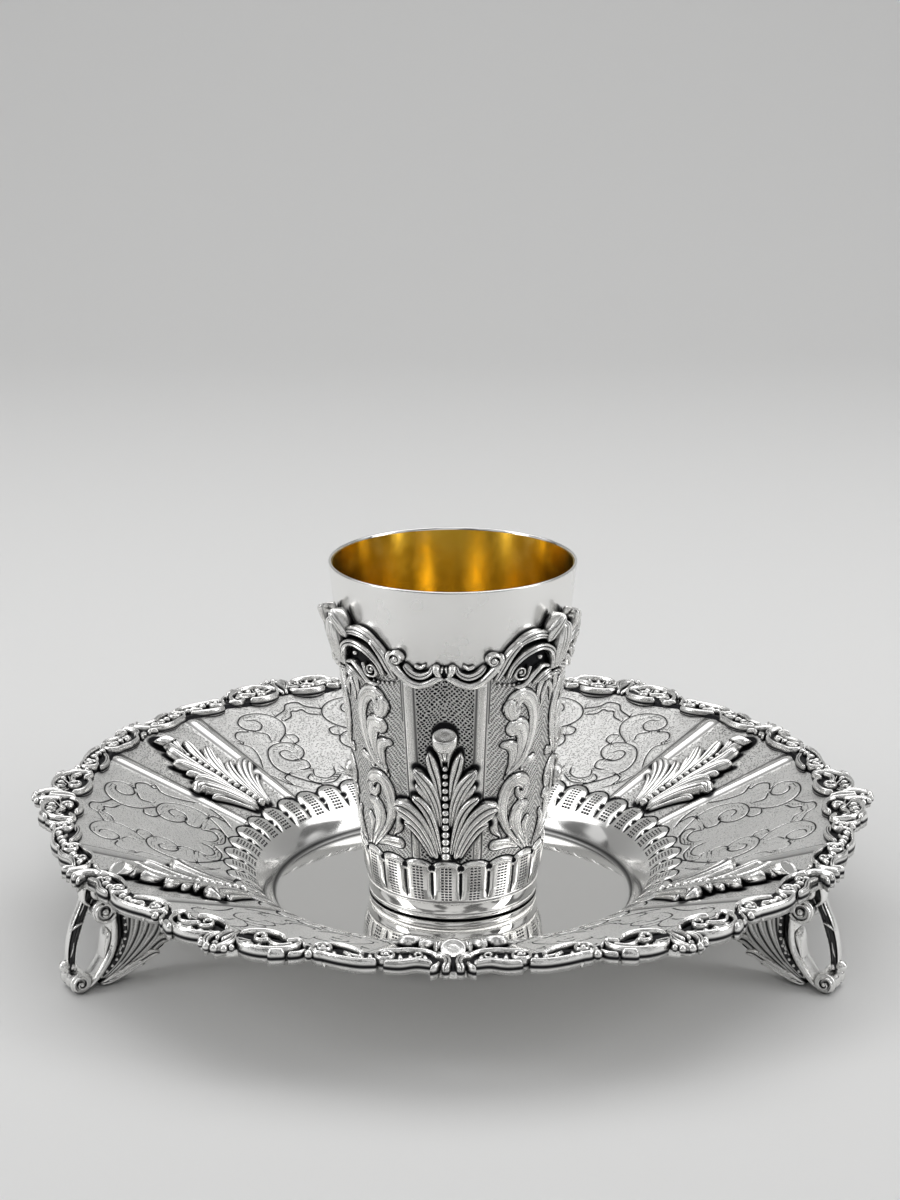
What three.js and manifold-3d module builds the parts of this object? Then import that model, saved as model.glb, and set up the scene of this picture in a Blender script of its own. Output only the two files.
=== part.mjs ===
// A silver kiddush cup standing on its own footed plate.
//
// Units are millimetres and +Z is up. The origin is on the table under the middle of the
// plate, and the front, where one leaf of the cup and one leaf of the plate line up, faces -Y.
// The cup is a seamed beaker with a cast border and three cast leaves soldered on. The plate is
// a spun and chased dish with a cast border, six cast leaves and three cast scroll feet.

import * as THREE from 'three';
import Module from 'manifold-3d';
import { mergeVertices } from 'three/addons/utils/BufferGeometryUtils.js';

const wasm = await Module();
wasm.setup();

// ---------------------------------------------------------------- driving dimensions

const GAP = 0.3;                    // clearance between castings that touch
const WELL_TOP = 4.2;               // flat middle of the plate above the table

const CUP_BOTTOM = WELL_TOP + GAP;
const CUP_HEIGHT = 88;
const CUP_FOOT_RADIUS = 21.5;
const CUP_RIM_RADIUS = 31;
const CUP_WALL = 0.8;
const CUP_FLOOR = 1.6;
const CUP_UNDER_RECESS = 0.7;       // hollow under the foot, inside a standing ring
const CUP_TURN = -4;                // degrees the cup is turned on the plate
const CUP_REPEATS = 3;              // leaves, and panels between them

const CUP_TONGUES = 20;
const CUP_TONGUE_START = 5.2;
const CUP_TONGUE_CROWN = 16.3;
const CUP_TONGUE_DROP = 2;          // how far the scalloped top falls between two tongues
const CUP_TONGUE_RELIEF = 0.5;

const PLATE_REPEATS = 6;
const WELL_RADIUS = 45.8;
const DISH_RADIUS = 97;
const DISH_SHEET = 1;
const DISH_STEP = 5.9;              // height gained in the quick rise beside the well
const DISH_STEP_RUN = 3.8;          // how quickly that rise dies out
const DISH_SLOPE = 0.36;            // the steady slope of the rim

const PLATE_TONGUES = 48;
const PLATE_TONGUE_START = 50.5;
const PLATE_TONGUE_CROWN = 58.6;
const PLATE_TONGUE_DROP = 4.2;
const PLATE_TONGUE_RELIEF = 0.45;

const PLATE_BORDER_TOP = 30.5;      // above the table
const PLATE_BORDER_BOTTOM = 26.8;

const LEAF_ON_CUP = CUP_TONGUE_CROWN + 0.5;   // height of the leaf's foot on the cup
const LEAF_ON_PLATE = 59.6;                   // radius of the leaf's foot on the plate

const FOOT_AZIMUTHS = [60, 180, 300];
const FOOT_OUT = 102.9;             // radius at which the feet stand
const KNUCKLE_RADIUS = 2.6;
const KNUCKLE_WIDTH = 7.5;

// ---------------------------------------------------------------- materials

function silver(roughness) {
  return new THREE.MeshStandardMaterial({ color: 0xe4e5e6, roughness, metalness: 1 });
}

const polishedSilver = silver(0.15);
const castSilver = silver(0.3);

// ---------------------------------------------------------------- solids from points

// A closed geometry from points and triangles, wound so that its faces look outward.
function closedGeometry(points, triangles) {
  let volume = 0;
  for (const [a, b, c] of triangles) {
    volume += points[a].dot(new THREE.Vector3().crossVectors(points[b], points[c]));
  }
  const wound = volume < 0 ? triangles.map(([a, b, c]) => [a, c, b]) : triangles;
  const geometry = new THREE.BufferGeometry().setFromPoints(points);
  geometry.setIndex(wound.flat());
  geometry.computeVertexNormals();
  return geometry;
}

// Joins equal rings of points one to the next. The last ring either meets the first one
// again, or both ends are closed by a fan about the ring's middle.
function loft(rings, meetsItself) {
  const count = rings[0].length;
  const points = rings.flat();
  const triangles = [];
  const bands = meetsItself ? rings.length : rings.length - 1;
  for (let i = 0; i < bands; i++) {
    const here = i * count;
    const next = ((i + 1) % rings.length) * count;
    for (let j = 0; j < count; j++) {
      const k = (j + 1) % count;
      triangles.push([here + j, here + k, next + k], [here + j, next + k, next + j]);
    }
  }
  if (!meetsItself) {
    const last = points.length - count;
    for (const [first, turned] of [[0, true], [last, false]]) {
      const middle = new THREE.Vector3();
      points.slice(first, first + count).forEach((point) => middle.addScaledVector(point, 1 / count));
      const centre = points.push(middle) - 1;
      for (let j = 0; j < count; j++) {
        const k = (j + 1) % count;
        const [a, b] = turned ? [first + k, first + j] : [first + j, first + k];
        triangles.push([a, b, centre]);
      }
    }
  }
  return closedGeometry(points, triangles);
}

function toSolid(geometry) {
  const bare = geometry.clone();
  bare.deleteAttribute('normal');
  bare.deleteAttribute('uv');
  const merged = mergeVertices(bare, 1e-4);
  return new wasm.Manifold(new wasm.Mesh({
    numProp: 3,
    vertProperties: new Float32Array(merged.attributes.position.array),
    triVerts: new Uint32Array(merged.index.array),
  }));
}

function join(geometries) {
  const solid = geometries.map(toSolid).reduce((whole, next) => whole.add(next));
  const mesh = solid.getMesh();
  const geometry = new THREE.BufferGeometry();
  geometry.setAttribute('position', new THREE.BufferAttribute(mesh.vertProperties, 3));
  geometry.setIndex(new THREE.BufferAttribute(mesh.triVerts, 1));
  geometry.computeVertexNormals();
  return geometry;
}

// Moves every vertex with a function of its own coordinates: this bends a flat casting
// onto the curved wall that it is soldered to.
function bend(geometry, place) {
  const position = geometry.attributes.position;
  for (let i = 0; i < position.count; i++) {
    const point = place(position.getX(i), position.getY(i), position.getZ(i));
    position.setXYZ(i, point.x, point.y, point.z);
  }
  geometry.computeVertexNormals();
  return geometry;
}

// ---------------------------------------------------------------- strokes of ornament

// A tapering rib, lying on the plane z = 0 and following a line through the given points.
// Its section is a low ridge: width and height run through the values given for its start,
// middle and end.
function rib(points, widths, heights, steps) {
  const line = new THREE.SplineCurve(points.map(([x, y]) => new THREE.Vector2(x, y)));
  const rings = [];
  for (let i = 0; i <= steps; i++) {
    const t = i / steps;
    const at = line.getPoint(t);
    const along = line.getTangent(t);
    const half = 0.5 * throughThree(widths, t);
    const height = throughThree(heights, t);
    rings.push([
      new THREE.Vector3(at.x - along.y * half, at.y + along.x * half, 0),
      new THREE.Vector3(at.x, at.y, height),
      new THREE.Vector3(at.x + along.y * half, at.y - along.x * half, 0),
    ]);
  }
  return loft(rings, false);
}

function throughThree([start, middle, end], t) {
  return t < 0.5 ? start + (middle - start) * 2 * t : middle + (end - middle) * (2 * t - 1);
}

// ---------------------------------------------------------------- the walls

function cupRadius(height) {
  return CUP_FOOT_RADIUS + (CUP_RIM_RADIUS - CUP_FOOT_RADIUS) * height / CUP_HEIGHT;
}

// A point on the cup: distance round the wall from the front, height up the wall, and
// distance out from it.
function onCup(round, height, out) {
  const angle = round / cupRadius(height);
  const radius = cupRadius(height) + out;
  return new THREE.Vector3(radius * Math.sin(angle), -radius * Math.cos(angle), CUP_BOTTOM + height);
}

function dishHeight(radius) {
  const past = Math.max(radius - WELL_RADIUS, 0);
  return WELL_TOP + DISH_STEP * (1 - Math.exp(-past / DISH_STEP_RUN)) + DISH_SLOPE * past;
}

// A point of the dish's section at a radius, moved square off its upper face.
function dishSection(radius, off) {
  const past = radius - WELL_RADIUS;
  const slope = past > 0 ? DISH_STEP / DISH_STEP_RUN * Math.exp(-past / DISH_STEP_RUN) + DISH_SLOPE : 0;
  const length = Math.hypot(1, slope);
  return [radius - off * slope / length, dishHeight(radius) + off / length];
}

// A point on the dish in front of its middle: distance to the side, distance out, and
// height off the metal.
function onDish(side, outward, off) {
  const [radius, height] = dishSection(Math.hypot(side, outward), off);
  const angle = Math.atan2(side, outward);
  return new THREE.Vector3(radius * Math.sin(angle), -radius * Math.cos(angle), height);
}

// ---------------------------------------------------------------- cup: the beaker

// Rings run from under the foot, up the outside, over the rim and down to the inner floor.
// The tongues round the foot swell out between a straight lower end and a round crown.
function beakerGeometry() {
  const sides = CUP_TONGUES * 4;
  const ring = (place) => Array.from({ length: sides }, (_, i) => {
    const across = (i % 4) / 2 - 1;
    const swell = Math.sqrt(1 - across * across);
    const [radius, height] = place(swell);
    const angle = 2 * Math.PI * i / sides;
    return new THREE.Vector3(radius * Math.sin(angle), -radius * Math.cos(angle), CUP_BOTTOM + height);
  });
  const plain = (radius, height) => ring(() => [radius, height]);
  const wall = (height) => plain(cupRadius(height), height);
  const tongue = (share, fullness) => ring((swell) => {
    const top = CUP_TONGUE_CROWN - CUP_TONGUE_DROP * (1 - swell);
    const height = CUP_TONGUE_START + share * (top - CUP_TONGUE_START);
    return [cupRadius(height) + CUP_TONGUE_RELIEF * swell * fullness, height];
  });
  const innerFloorRadius = cupRadius(CUP_FLOOR) - CUP_WALL;
  return loft([
    plain(CUP_FOOT_RADIUS - 2.5, CUP_UNDER_RECESS),
    plain(CUP_FOOT_RADIUS - 2, 0),
    wall(0),
    tongue(0, 0),
    tongue(0.12, 1),
    tongue(0.85, 1),
    tongue(1, 0),
    wall(CUP_TONGUE_CROWN + 0.4),
    wall(CUP_HEIGHT),
    plain(CUP_RIM_RADIUS - CUP_WALL, CUP_HEIGHT),
    plain(innerFloorRadius, CUP_FLOOR + 2),
    plain(innerFloorRadius - 2, CUP_FLOOR),
  ], false);
}

// ---------------------------------------------------------------- cup: the border

// Edges of the border by degrees from a leaf to the middle of the next panel: lower edge,
// upper edge, and how far the metal stands out. A bow hangs over each leaf, a garland and a
// volute follow, and a shell with a tall crest stands over the panel.
const CUP_BORDER_EDGES = [
  [0, 65.6, 70.1, 2.4],
  [6, 66.2, 69.2, 1.6],
  [11.7, 64, 68.2, 2.2],
  [17, 66.4, 69.4, 1.6],
  [23, 67, 72, 2.6],
  [30, 67.4, 71, 1.7],
  [38, 65.4, 71.5, 2],
  [46, 63, 73.6, 2.8],
  [52, 62.4, 74, 2.8],
  [57, 64, 73.4, 2.4],
];
const CUP_BORDER_END = [60, 65.4, 72.6, 2.4];

// A list that covers one half of a repeat, run forward and back until it closes.
function aroundTheRing(half, end, repeats) {
  const turn = 2 * end[0];
  const whole = [...half, end, ...half.slice(1).reverse().map(([at, ...rest]) => [turn - at, ...rest])];
  return Array.from({ length: repeats }, (_, i) => (
    whole.map(([at, ...rest]) => [at + turn * i, ...rest])
  )).flat();
}

function cupBorderGeometry() {
  const sections = aroundTheRing(CUP_BORDER_EDGES, CUP_BORDER_END, CUP_REPEATS);
  const band = loft(sections.map(([degrees, low, high, out]) => {
    const angle = THREE.MathUtils.degToRad(degrees);
    const middle = 0.5 * (low + high);
    const section = [[low, GAP], [low, out * 0.6], [low + 1, out], [middle, out * 0.55],
      [high - 1, out], [high, out * 0.5], [high, GAP]];
    return section.map(([height, off]) => onCup(angle * cupRadius(height), height, off));
  }), true);
  const crests = [];
  for (let i = 0; i < CUP_REPEATS; i++) {
    const panel = THREE.MathUtils.degToRad(60 + 120 * i);
    for (const side of [-1, 1]) {
      const tip = [[side * 5.6, 72], [side * 4.6, 75.4], [side * 1.6, 78.4], [side * 2.6, 79.6]];
      const lobe = rib(tip, [3.2, 2.6, 1.2], [2.6, 3.4, 2.6], 3);
      crests.push(bend(lobe, (x, y, z) => onCup(x + panel * cupRadius(y), y, z + GAP)));
    }
  }
  return join([band, ...crests]);
}

// ---------------------------------------------------------------- the acanthus leaf

// The right half of the leaf, lobe by lobe from its foot: where the lobe starts on the stem,
// the turns of its edge, the notch above it, and the highest point of its fold.
const LEAF_LENGTH = 37;
const LEAF_LOBES = [
  { start: 0, edge: [[4.2, 0], [7.2, 5.6], [9.9, 10.8]], notch: [8, 10.2], fold: [5, 4.6] },
  { start: 1.6, edge: [[10.6, 12.4], [11.6, 15], [9.4, 16.2]], notch: [6.4, 12.4], fold: [7.2, 11.4] },
  { start: 4.4, edge: [[7.8, 15.2], [7.1, 17.6], [5.2, 16]], notch: [2.9, 12], fold: [4.6, 11.5] },
  { start: 12, edge: [[5.4, 18], [6.6, 24.3], [4, 22]], notch: [2, 17.4], fold: [3, 15.4] },
  { start: 18.4, edge: [[3.4, 23], [3.1, 29.2], [1.6, 26.6]], notch: [1, 22.6], fold: [2.1, 21] },
];
const LEAF_STEM_END = 22.8;
const STEM_HALF_WIDTH = 0.8;
const EDGE_HEIGHT = 0.7;
const FOLD_HEIGHT = 2.2;
const STEM_HEIGHT = 2.8;
const BACK_HOLLOW = 0.1;            // the back is this much off the wall under stem and folds

// A fan of triangles about each lobe's fold, raised from the back, with an upright wall round
// the whole. A corner is [x, y, height, height of the back].
function leafGeometry() {
  const points = [];
  const upper = [];
  const corner = (x, y, height, back = 0) => points.push([x, y, height, back]) - 1;
  const starts = [...LEAF_LOBES.map(({ start }) => start), LEAF_STEM_END];
  const spine = starts.map((start) => corner(0, start, STEM_HEIGHT, BACK_HOLLOW));
  for (const side of [1, -1]) {
    const stem = starts.map((start) => corner(side * STEM_HALF_WIDTH, start, EDGE_HEIGHT));
    let below = null;
    LEAF_LOBES.forEach(({ edge, notch, fold }, i) => {
      const rim = edge.map(([x, y]) => corner(side * x, y, EDGE_HEIGHT));
      const above = corner(side * notch[0], notch[1], EDGE_HEIGHT);
      const around = [stem[i], ...(below === null ? [] : [below]), ...rim, above, stem[i + 1]];
      const middle = corner(side * fold[0], fold[1], FOLD_HEIGHT, BACK_HOLLOW);
      around.forEach((here, j) => upper.push([middle, here, around[(j + 1) % around.length]]));
      upper.push([spine[i], stem[i], stem[i + 1]], [spine[i], stem[i + 1], spine[i + 1]]);
      below = above;
    });
  }
  return join([withBack(points, upper), budGeometry()]);
}

// Closes a raised surface with a back of the same outline and a wall between them.
function withBack(points, upper) {
  const turned = upper.map(([a, b, c]) => {
    const [p, q, r] = [points[a], points[b], points[c]];
    const area = (q[0] - p[0]) * (r[1] - p[1]) - (q[1] - p[1]) * (r[0] - p[0]);
    return area > 0 ? [a, b, c] : [a, c, b];
  });
  const count = points.length;
  const steps = turned.flatMap(([a, b, c]) => [[a, b], [b, c], [c, a]]);
  const known = new Set(steps.map((step) => step.join()));
  const wall = steps.filter(([a, b]) => !known.has([b, a].join()))
    .flatMap(([a, b]) => [[a, b + count, b], [a, a + count, b + count]]);
  const back = turned.map(([a, b, c]) => [a + count, c + count, b + count]);
  const corners = [
    ...points.map(([x, y, height]) => new THREE.Vector3(x, y, height)),
    ...points.map(([x, y, , low]) => new THREE.Vector3(x, y, low)),
  ];
  return closedGeometry(corners, [...turned, ...back, ...wall]);
}

// The bud at the leaf's tip: a half-round cap over a tapering calyx on the end of the stem.
// Each station is a distance up the leaf, a half-width and a height.
const BUD_BACK = 0.15;
const BUD_STATIONS = [
  [21.6, 0.7, 2.2],
  [28.6, 0.7, 1.8],
  [31.8, 2.1, 2.6],
  [32.2, 2.8, 3.1],
  [36, 2.8, 3.1],
  [LEAF_LENGTH, 2, 2.2],
];

function budGeometry() {
  return loft(BUD_STATIONS.map(([along, half, height]) => (
    [0, 0.3, 0.7, 1].map((share) => {
      const angle = Math.PI * share;
      return new THREE.Vector3(half * Math.cos(angle), along, BUD_BACK + height * Math.sin(angle));
    })
  )), false);
}

// ---------------------------------------------------------------- plate: the dish

// Rings run over the top from the well to the edge and back underneath.
function dishGeometry() {
  const sides = PLATE_TONGUES * 2;
  const ring = (place) => Array.from({ length: sides }, (_, i) => {
    const crown = 1 - (i % 2);
    const [radius, height] = place(crown);
    const angle = 2 * Math.PI * i / sides;
    return new THREE.Vector3(radius * Math.sin(angle), -radius * Math.cos(angle), height);
  });
  const top = (radius) => ring(() => dishSection(radius, 0));
  const under = (radius) => ring(() => dishSection(radius, -DISH_SHEET));
  const tongue = (share, fullness) => ring((crown) => {
    const end = PLATE_TONGUE_CROWN - PLATE_TONGUE_DROP * (1 - crown);
    const radius = PLATE_TONGUE_START + share * (end - PLATE_TONGUE_START);
    return dishSection(radius, PLATE_TONGUE_RELIEF * crown * fullness);
  });
  return loft([
    top(WELL_RADIUS),
    top(WELL_RADIUS + 1.7),
    tongue(0, 0),
    tongue(0.25, 1),
    tongue(0.85, 1),
    tongue(1, 0),
    top(PLATE_TONGUE_CROWN + 0.8),
    top(DISH_RADIUS),
    under(DISH_RADIUS),
    under(PLATE_TONGUE_CROWN),
    under(WELL_RADIUS + 5),
    under(WELL_RADIUS - 0.4),
  ], false);
}

// ---------------------------------------------------------------- plate: the border

// Edges of the border by degrees from the middle of a scroll panel to a leaf: outer radius,
// inner radius, and height of the crest line below the border's top. A crest of two buds is
// followed by a shell, a bead in a valley, running volutes and a bow over the leaf.
const PLATE_BORDER_EDGES = [
  [0, 107.5, 97.4, 0.4],
  [2, 106.6, 97, 0],
  [3.2, 103.8, 95.2, 0.3],
  [7, 104.2, 94.4, 0],
  [10, 102.6, 95.4, 0.5],
  [11.6, 100.9, 96.2, 0.9],
  [14, 102.4, 95, 0],
  [19.5, 101.8, 96, 0.3],
  [26.5, 100.9, 95.6, 0.7],
  [28.2, 104.6, 96.4, 0],
];
const PLATE_BORDER_END = [30, 105.5, 97, 0.2];

// The section hooks over the edge of the dish: its inner part lies on the rim and its outer
// part hangs past it.
function plateBorderGeometry() {
  const clear = dishSection(DISH_RADIUS, -DISH_SHEET)[0] + GAP;
  const sections = aroundTheRing(PLATE_BORDER_EDGES, PLATE_BORDER_END, PLATE_REPEATS);
  const band = loft(sections.map(([degrees, outer, inner, dip]) => {
    const angle = THREE.MathUtils.degToRad(degrees + 180 / PLATE_REPEATS);
    const top = PLATE_BORDER_TOP - dip;
    const section = [[...dishSection(inner, GAP)], [...dishSection(clear, GAP)],
      [clear, PLATE_BORDER_BOTTOM], [outer - 0.6, PLATE_BORDER_BOTTOM], [outer, top - 1],
      [outer - 1.4, top], [0.5 * (outer + inner), top - 1.2], [inner + 1, top - 0.3]];
    return section.map(([radius, height]) => (
      new THREE.Vector3(radius * Math.sin(angle), -radius * Math.cos(angle), height)
    ));
  }), true);
  return band;
}

// ---------------------------------------------------------------- plate: the feet

// A foot is drawn in the upright plane through the plate's middle: x is the radius, y the
// height above the table, and its pieces are given their width across that plane.
function slab(outline, width) {
  const shape = new THREE.Shape(outline.map(([x, y]) => new THREE.Vector2(x, y)));
  const geometry = new THREE.ExtrudeGeometry(shape, { depth: width, bevelEnabled: false });
  return geometry.translate(0, 0, -width / 2);
}

// A strip of even thickness that follows a curve through a few points.
function strip(points, thickness, width) {
  const line = new THREE.SplineCurve(points.map(([x, y]) => new THREE.Vector2(x, y)));
  const sides = [[], []];
  const steps = 7;
  for (let i = 0; i <= steps; i++) {
    const at = line.getPoint(i / steps);
    const along = line.getTangent(i / steps);
    sides[0].push([at.x - along.y * thickness / 2, at.y + along.x * thickness / 2]);
    sides[1].push([at.x + along.y * thickness / 2, at.y - along.x * thickness / 2]);
  }
  return slab([...sides[0], ...sides[1].reverse()], width);
}

// A roll across the foot, as a prism with a flat side down.
function roll(x, y, radius, width, sides) {
  const corner = radius / Math.cos(Math.PI / sides);
  const outline = Array.from({ length: sides }, (_, i) => {
    const angle = 2 * Math.PI * (i + 0.5) / sides - Math.PI / 2;
    return [x + corner * Math.cos(angle), y + corner * Math.sin(angle)];
  });
  return slab(outline, width);
}

// The leaf under the foot: saw-toothed below, and held under the dish along its top.
const FOOT_LEAF = [
  [99.5, 2.4], [96.4, 1.3], [95.4, 3], [91.6, 1.9], [91, 4], [87, 3.6], [86.6, 6], [82.6, 6.2],
  [83, 9.4], [80.8, 11.4], [82.6, 14.6], [82, 18],
];

function footGeometry() {
  const underDish = (radius) => [radius, dishHeight(radius) - DISH_SHEET * 1.07 - GAP];
  const leaf = slab([...FOOT_LEAF, underDish(83.5), underDish(95.6), [95.2, 12], [98, 6]], 3.4);
  const knuckle = roll(FOOT_OUT, KNUCKLE_RADIUS, KNUCKLE_RADIUS, KNUCKLE_WIDTH, 12);
  const curl = roll(96.2, 18.3, 2.7, 7, 10);
  const inner = strip([[101.6, 2.8], [97.6, 6.2], [94.9, 11], [94.4, 17]], 2.2, 6);
  const outer = strip([[103.6, 4.6], [103.7, 9], [102.8, 16], [100.4, 26.2]], 1.8, 3.2);
  const knob = roll(104.6, 6.4, 0.9, 2.4, 6);
  return join([leaf, knuckle, curl, inner, outer, knob]).rotateX(Math.PI / 2).rotateZ(-Math.PI / 2);
}

// ---------------------------------------------------------------- the assembly

const group = new THREE.Group();

function addPiece(parent, name, geometry, material, degrees = 0) {
  const mesh = new THREE.Mesh(geometry, material);
  mesh.name = name;
  mesh.rotation.z = THREE.MathUtils.degToRad(degrees);
  parent.add(mesh);
}

const cup = new THREE.Group();
cup.rotation.z = THREE.MathUtils.degToRad(CUP_TURN);
group.add(cup);
addPiece(cup, 'cup_beaker', beakerGeometry(), polishedSilver);
addPiece(cup, 'cup_border', cupBorderGeometry(), castSilver);
const cupLeaf = bend(leafGeometry(), (x, y, z) => onCup(x, LEAF_ON_CUP + y, z + GAP));
for (let i = 0; i < CUP_REPEATS; i++) {
  addPiece(cup, `cup_leaf_${i + 1}`, cupLeaf, castSilver, 360 / CUP_REPEATS * i);
}

addPiece(group, 'plate_dish', dishGeometry(), polishedSilver);
addPiece(group, 'plate_border', plateBorderGeometry(), castSilver);
const plateLeaf = bend(leafGeometry(), (x, y, z) => onDish(-x, LEAF_ON_PLATE + y, z + GAP));
for (let i = 0; i < PLATE_REPEATS; i++) {
  addPiece(group, `plate_leaf_${i + 1}`, plateLeaf, castSilver, 360 / PLATE_REPEATS * i);
}
const foot = footGeometry();
FOOT_AZIMUTHS.forEach((azimuth, i) => addPiece(group, `plate_foot_${i + 1}`, foot, castSilver, azimuth));

export default group;
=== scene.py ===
"""A silver kiddush cup on its footed plate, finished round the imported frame.

Lengths inside a section are millimetres and are turned to metres when a mesh is made.
The middle of the plate is the upright axis and the front faces -Y.
"""
import math

import bmesh
import bpy
import mathutils
import numpy as np
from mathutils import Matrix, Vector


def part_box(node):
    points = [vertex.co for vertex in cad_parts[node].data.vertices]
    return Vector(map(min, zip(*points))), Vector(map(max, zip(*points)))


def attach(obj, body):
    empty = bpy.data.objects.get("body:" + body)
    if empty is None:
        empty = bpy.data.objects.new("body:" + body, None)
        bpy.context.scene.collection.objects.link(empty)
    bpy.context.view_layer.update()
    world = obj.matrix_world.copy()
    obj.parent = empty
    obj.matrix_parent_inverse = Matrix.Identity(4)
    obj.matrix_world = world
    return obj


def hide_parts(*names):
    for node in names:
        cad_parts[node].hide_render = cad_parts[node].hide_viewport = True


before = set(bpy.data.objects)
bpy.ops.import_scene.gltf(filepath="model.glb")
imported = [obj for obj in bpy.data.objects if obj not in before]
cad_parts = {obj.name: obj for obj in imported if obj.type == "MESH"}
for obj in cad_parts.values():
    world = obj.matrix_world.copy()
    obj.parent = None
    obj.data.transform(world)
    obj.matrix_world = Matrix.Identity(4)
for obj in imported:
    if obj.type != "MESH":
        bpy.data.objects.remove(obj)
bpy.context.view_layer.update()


# ======== the dish
# A round of sterling silver sheet, spun to a flat mirror-polished well and a sloping rim,
# then chased from above: a ring of tongues round the well, and on the rim six narrow leaf
# panels and six wide scroll panels, parted by reeds, on a finely punched ground.

MM = 0.001


def box_of(node):
    """The lowest and highest corners of a node of the frame, in mm."""
    return [np.array(corner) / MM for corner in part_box(node)]


# The dish in mm: its sheet, its flat well, the step up round the well and the rim's slope.
SHEET = 1.0
WELL_TOP = box_of("plate_dish")[0][2] + SHEET
WELL_RADIUS = 45.8
DISH_EDGE = box_of("plate_dish")[1][0] - 0.34 * SHEET
STEP = 5.9
STEP_RUN = 3.8
RIM_SLOPE = 0.36
RIM_END = 97.0

# Its pattern: radii in mm, and the reeds by degrees from the middle of a leaf panel.
PLATE_PANELS = 6
PLATE_TONGUES = 48
TONGUE_FOOT = 50.5
TONGUE_NOTCH = 54.3
TONGUE_CROWN = 58.6
PLATE_REED = 10.5
PLATE_REED_HALF = 1.55
SCROLL_FOOT = 59.4
SCROLL_LENGTH = 34.4
LEAF_ON_PLATE = -box_of("plate_leaf_1")[1][1]

# The chased scrolls of one half panel, each a single line, by place across from the panel's
# middle line (0) to the reed (1) and out from the tongues (0) to the border (1).
SCROLL_LINES = [
    [(0.57, 0.89), (0.50, 0.87), (0.47, 0.80), (0.56, 0.745), (0.68, 0.79), (0.70, 0.88), (0.58, 0.95),
     (0.42, 0.94), (0.29, 0.87), (0.24, 0.76), (0.30, 0.65), (0.44, 0.57)],
    [(0.38, -0.02), (0.64, 0.11), (0.80, 0.26), (0.78, 0.40), (0.65, 0.52), (0.47, 0.55), (0.32, 0.51),
     (0.26, 0.43), (0.32, 0.35), (0.46, 0.315), (0.58, 0.36), (0.58, 0.44), (0.49, 0.46), (0.43, 0.42)],
    [(0.30, 0.62), (0.22, 0.60), (0.22, 0.53), (0.31, 0.50)],
    [(0.68, 0.76), (0.80, 0.79), (0.88, 0.73), (0.85, 0.66)],
    [(0.60, 0.73), (0.51, 0.68), (0.53, 0.61)],
    [(0.92, 0.67), (0.83, 0.59), (0.86, 0.47), (0.95, 0.36)],
    [(0.47, 0.33), (0.34, 0.29), (0.36, 0.21), (0.47, 0.20)],
    [(0.46, 0.13), (0.54, 0.09), (0.44, 0.02), (0.20, 0.0), (0.04, 0.05)],
    [(0.36, 0.17), (0.40, 0.10), (0.26, 0.05), (0.10, 0.08), (0.06, 0.14)],
    [(0.0, 0.985), (0.07, 0.97), (0.12, 0.91), (0.25, 0.86)],
    [(0.0, 0.87), (0.06, 0.88), (0.10, 0.82), (0.19, 0.79)],
    [(0.98, 0.24), (0.90, 0.12), (0.76, 0.03)],
    [(0.72, 0.20), (0.84, 0.17), (0.83, 0.08)],
]


# The cast leaf that is soldered in each leaf panel, lobe by lobe for its right half, from its
# foot (0) to its bud (37): place across and up, lift off the ground, width and height in mm.
LEAF_LOBES = [
    [(3.2, 0.5, 0.0, 1.1, 0.8), (4.8, 4.2, 0.1, 2.0, 1.1), (6.5, 7.2, 0.2, 2.6, 1.3),
     (8.6, 9.4, 0.4, 2.6, 1.4), (10.5, 9.7, 0.6, 1.7, 1.2)],
    [(2.2, 0.4, 0.2, 1.4, 1.2), (3.5, 5.0, 0.5, 2.9, 1.6), (5.6, 9.6, 0.8, 4.1, 1.9),
     (8.4, 12.9, 1.1, 5.2, 2.1), (11.0, 14.2, 1.4, 4.6, 2.1), (12.6, 13.2, 1.2, 2.6, 1.6)],
    [(1.1, 1.6, 0.2, 1.2, 1.2), (2.3, 8.0, 0.5, 2.2, 1.6), (3.7, 12.8, 0.8, 2.8, 1.8),
     (5.6, 16.0, 1.1, 2.7, 1.8), (7.8, 17.6, 1.4, 1.5, 1.5)],
    [(2.6, 12.6, 0.2, 1.1, 1.0), (4.2, 16.6, 0.4, 1.9, 1.4), (5.6, 19.0, 0.7, 2.1, 1.5),
     (7.1, 20.9, 0.9, 1.2, 1.3)],
    [(1.2, 9.0, 0.2, 1.3, 1.3), (2.2, 15.6, 0.6, 2.9, 1.7), (3.8, 20.2, 1.0, 3.5, 1.9),
     (5.5, 23.0, 1.4, 3.1, 1.9), (7.2, 25.2, 1.7, 1.5, 1.5)],
    [(1.2, 16.4, 0.3, 1.2, 1.3), (1.9, 21.8, 0.6, 2.5, 1.6), (2.7, 25.4, 1.0, 3.0, 1.8),
     (3.2, 28.0, 1.4, 2.5, 1.9), (3.6, 30.0, 1.6, 1.4, 1.5)],
]
LEAF_BUD = [(0, 26.0, 1.0), (0, 30.0, 3.2), (0, 32.5, 6.0), (0, 34.3, 6.0)]


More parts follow.
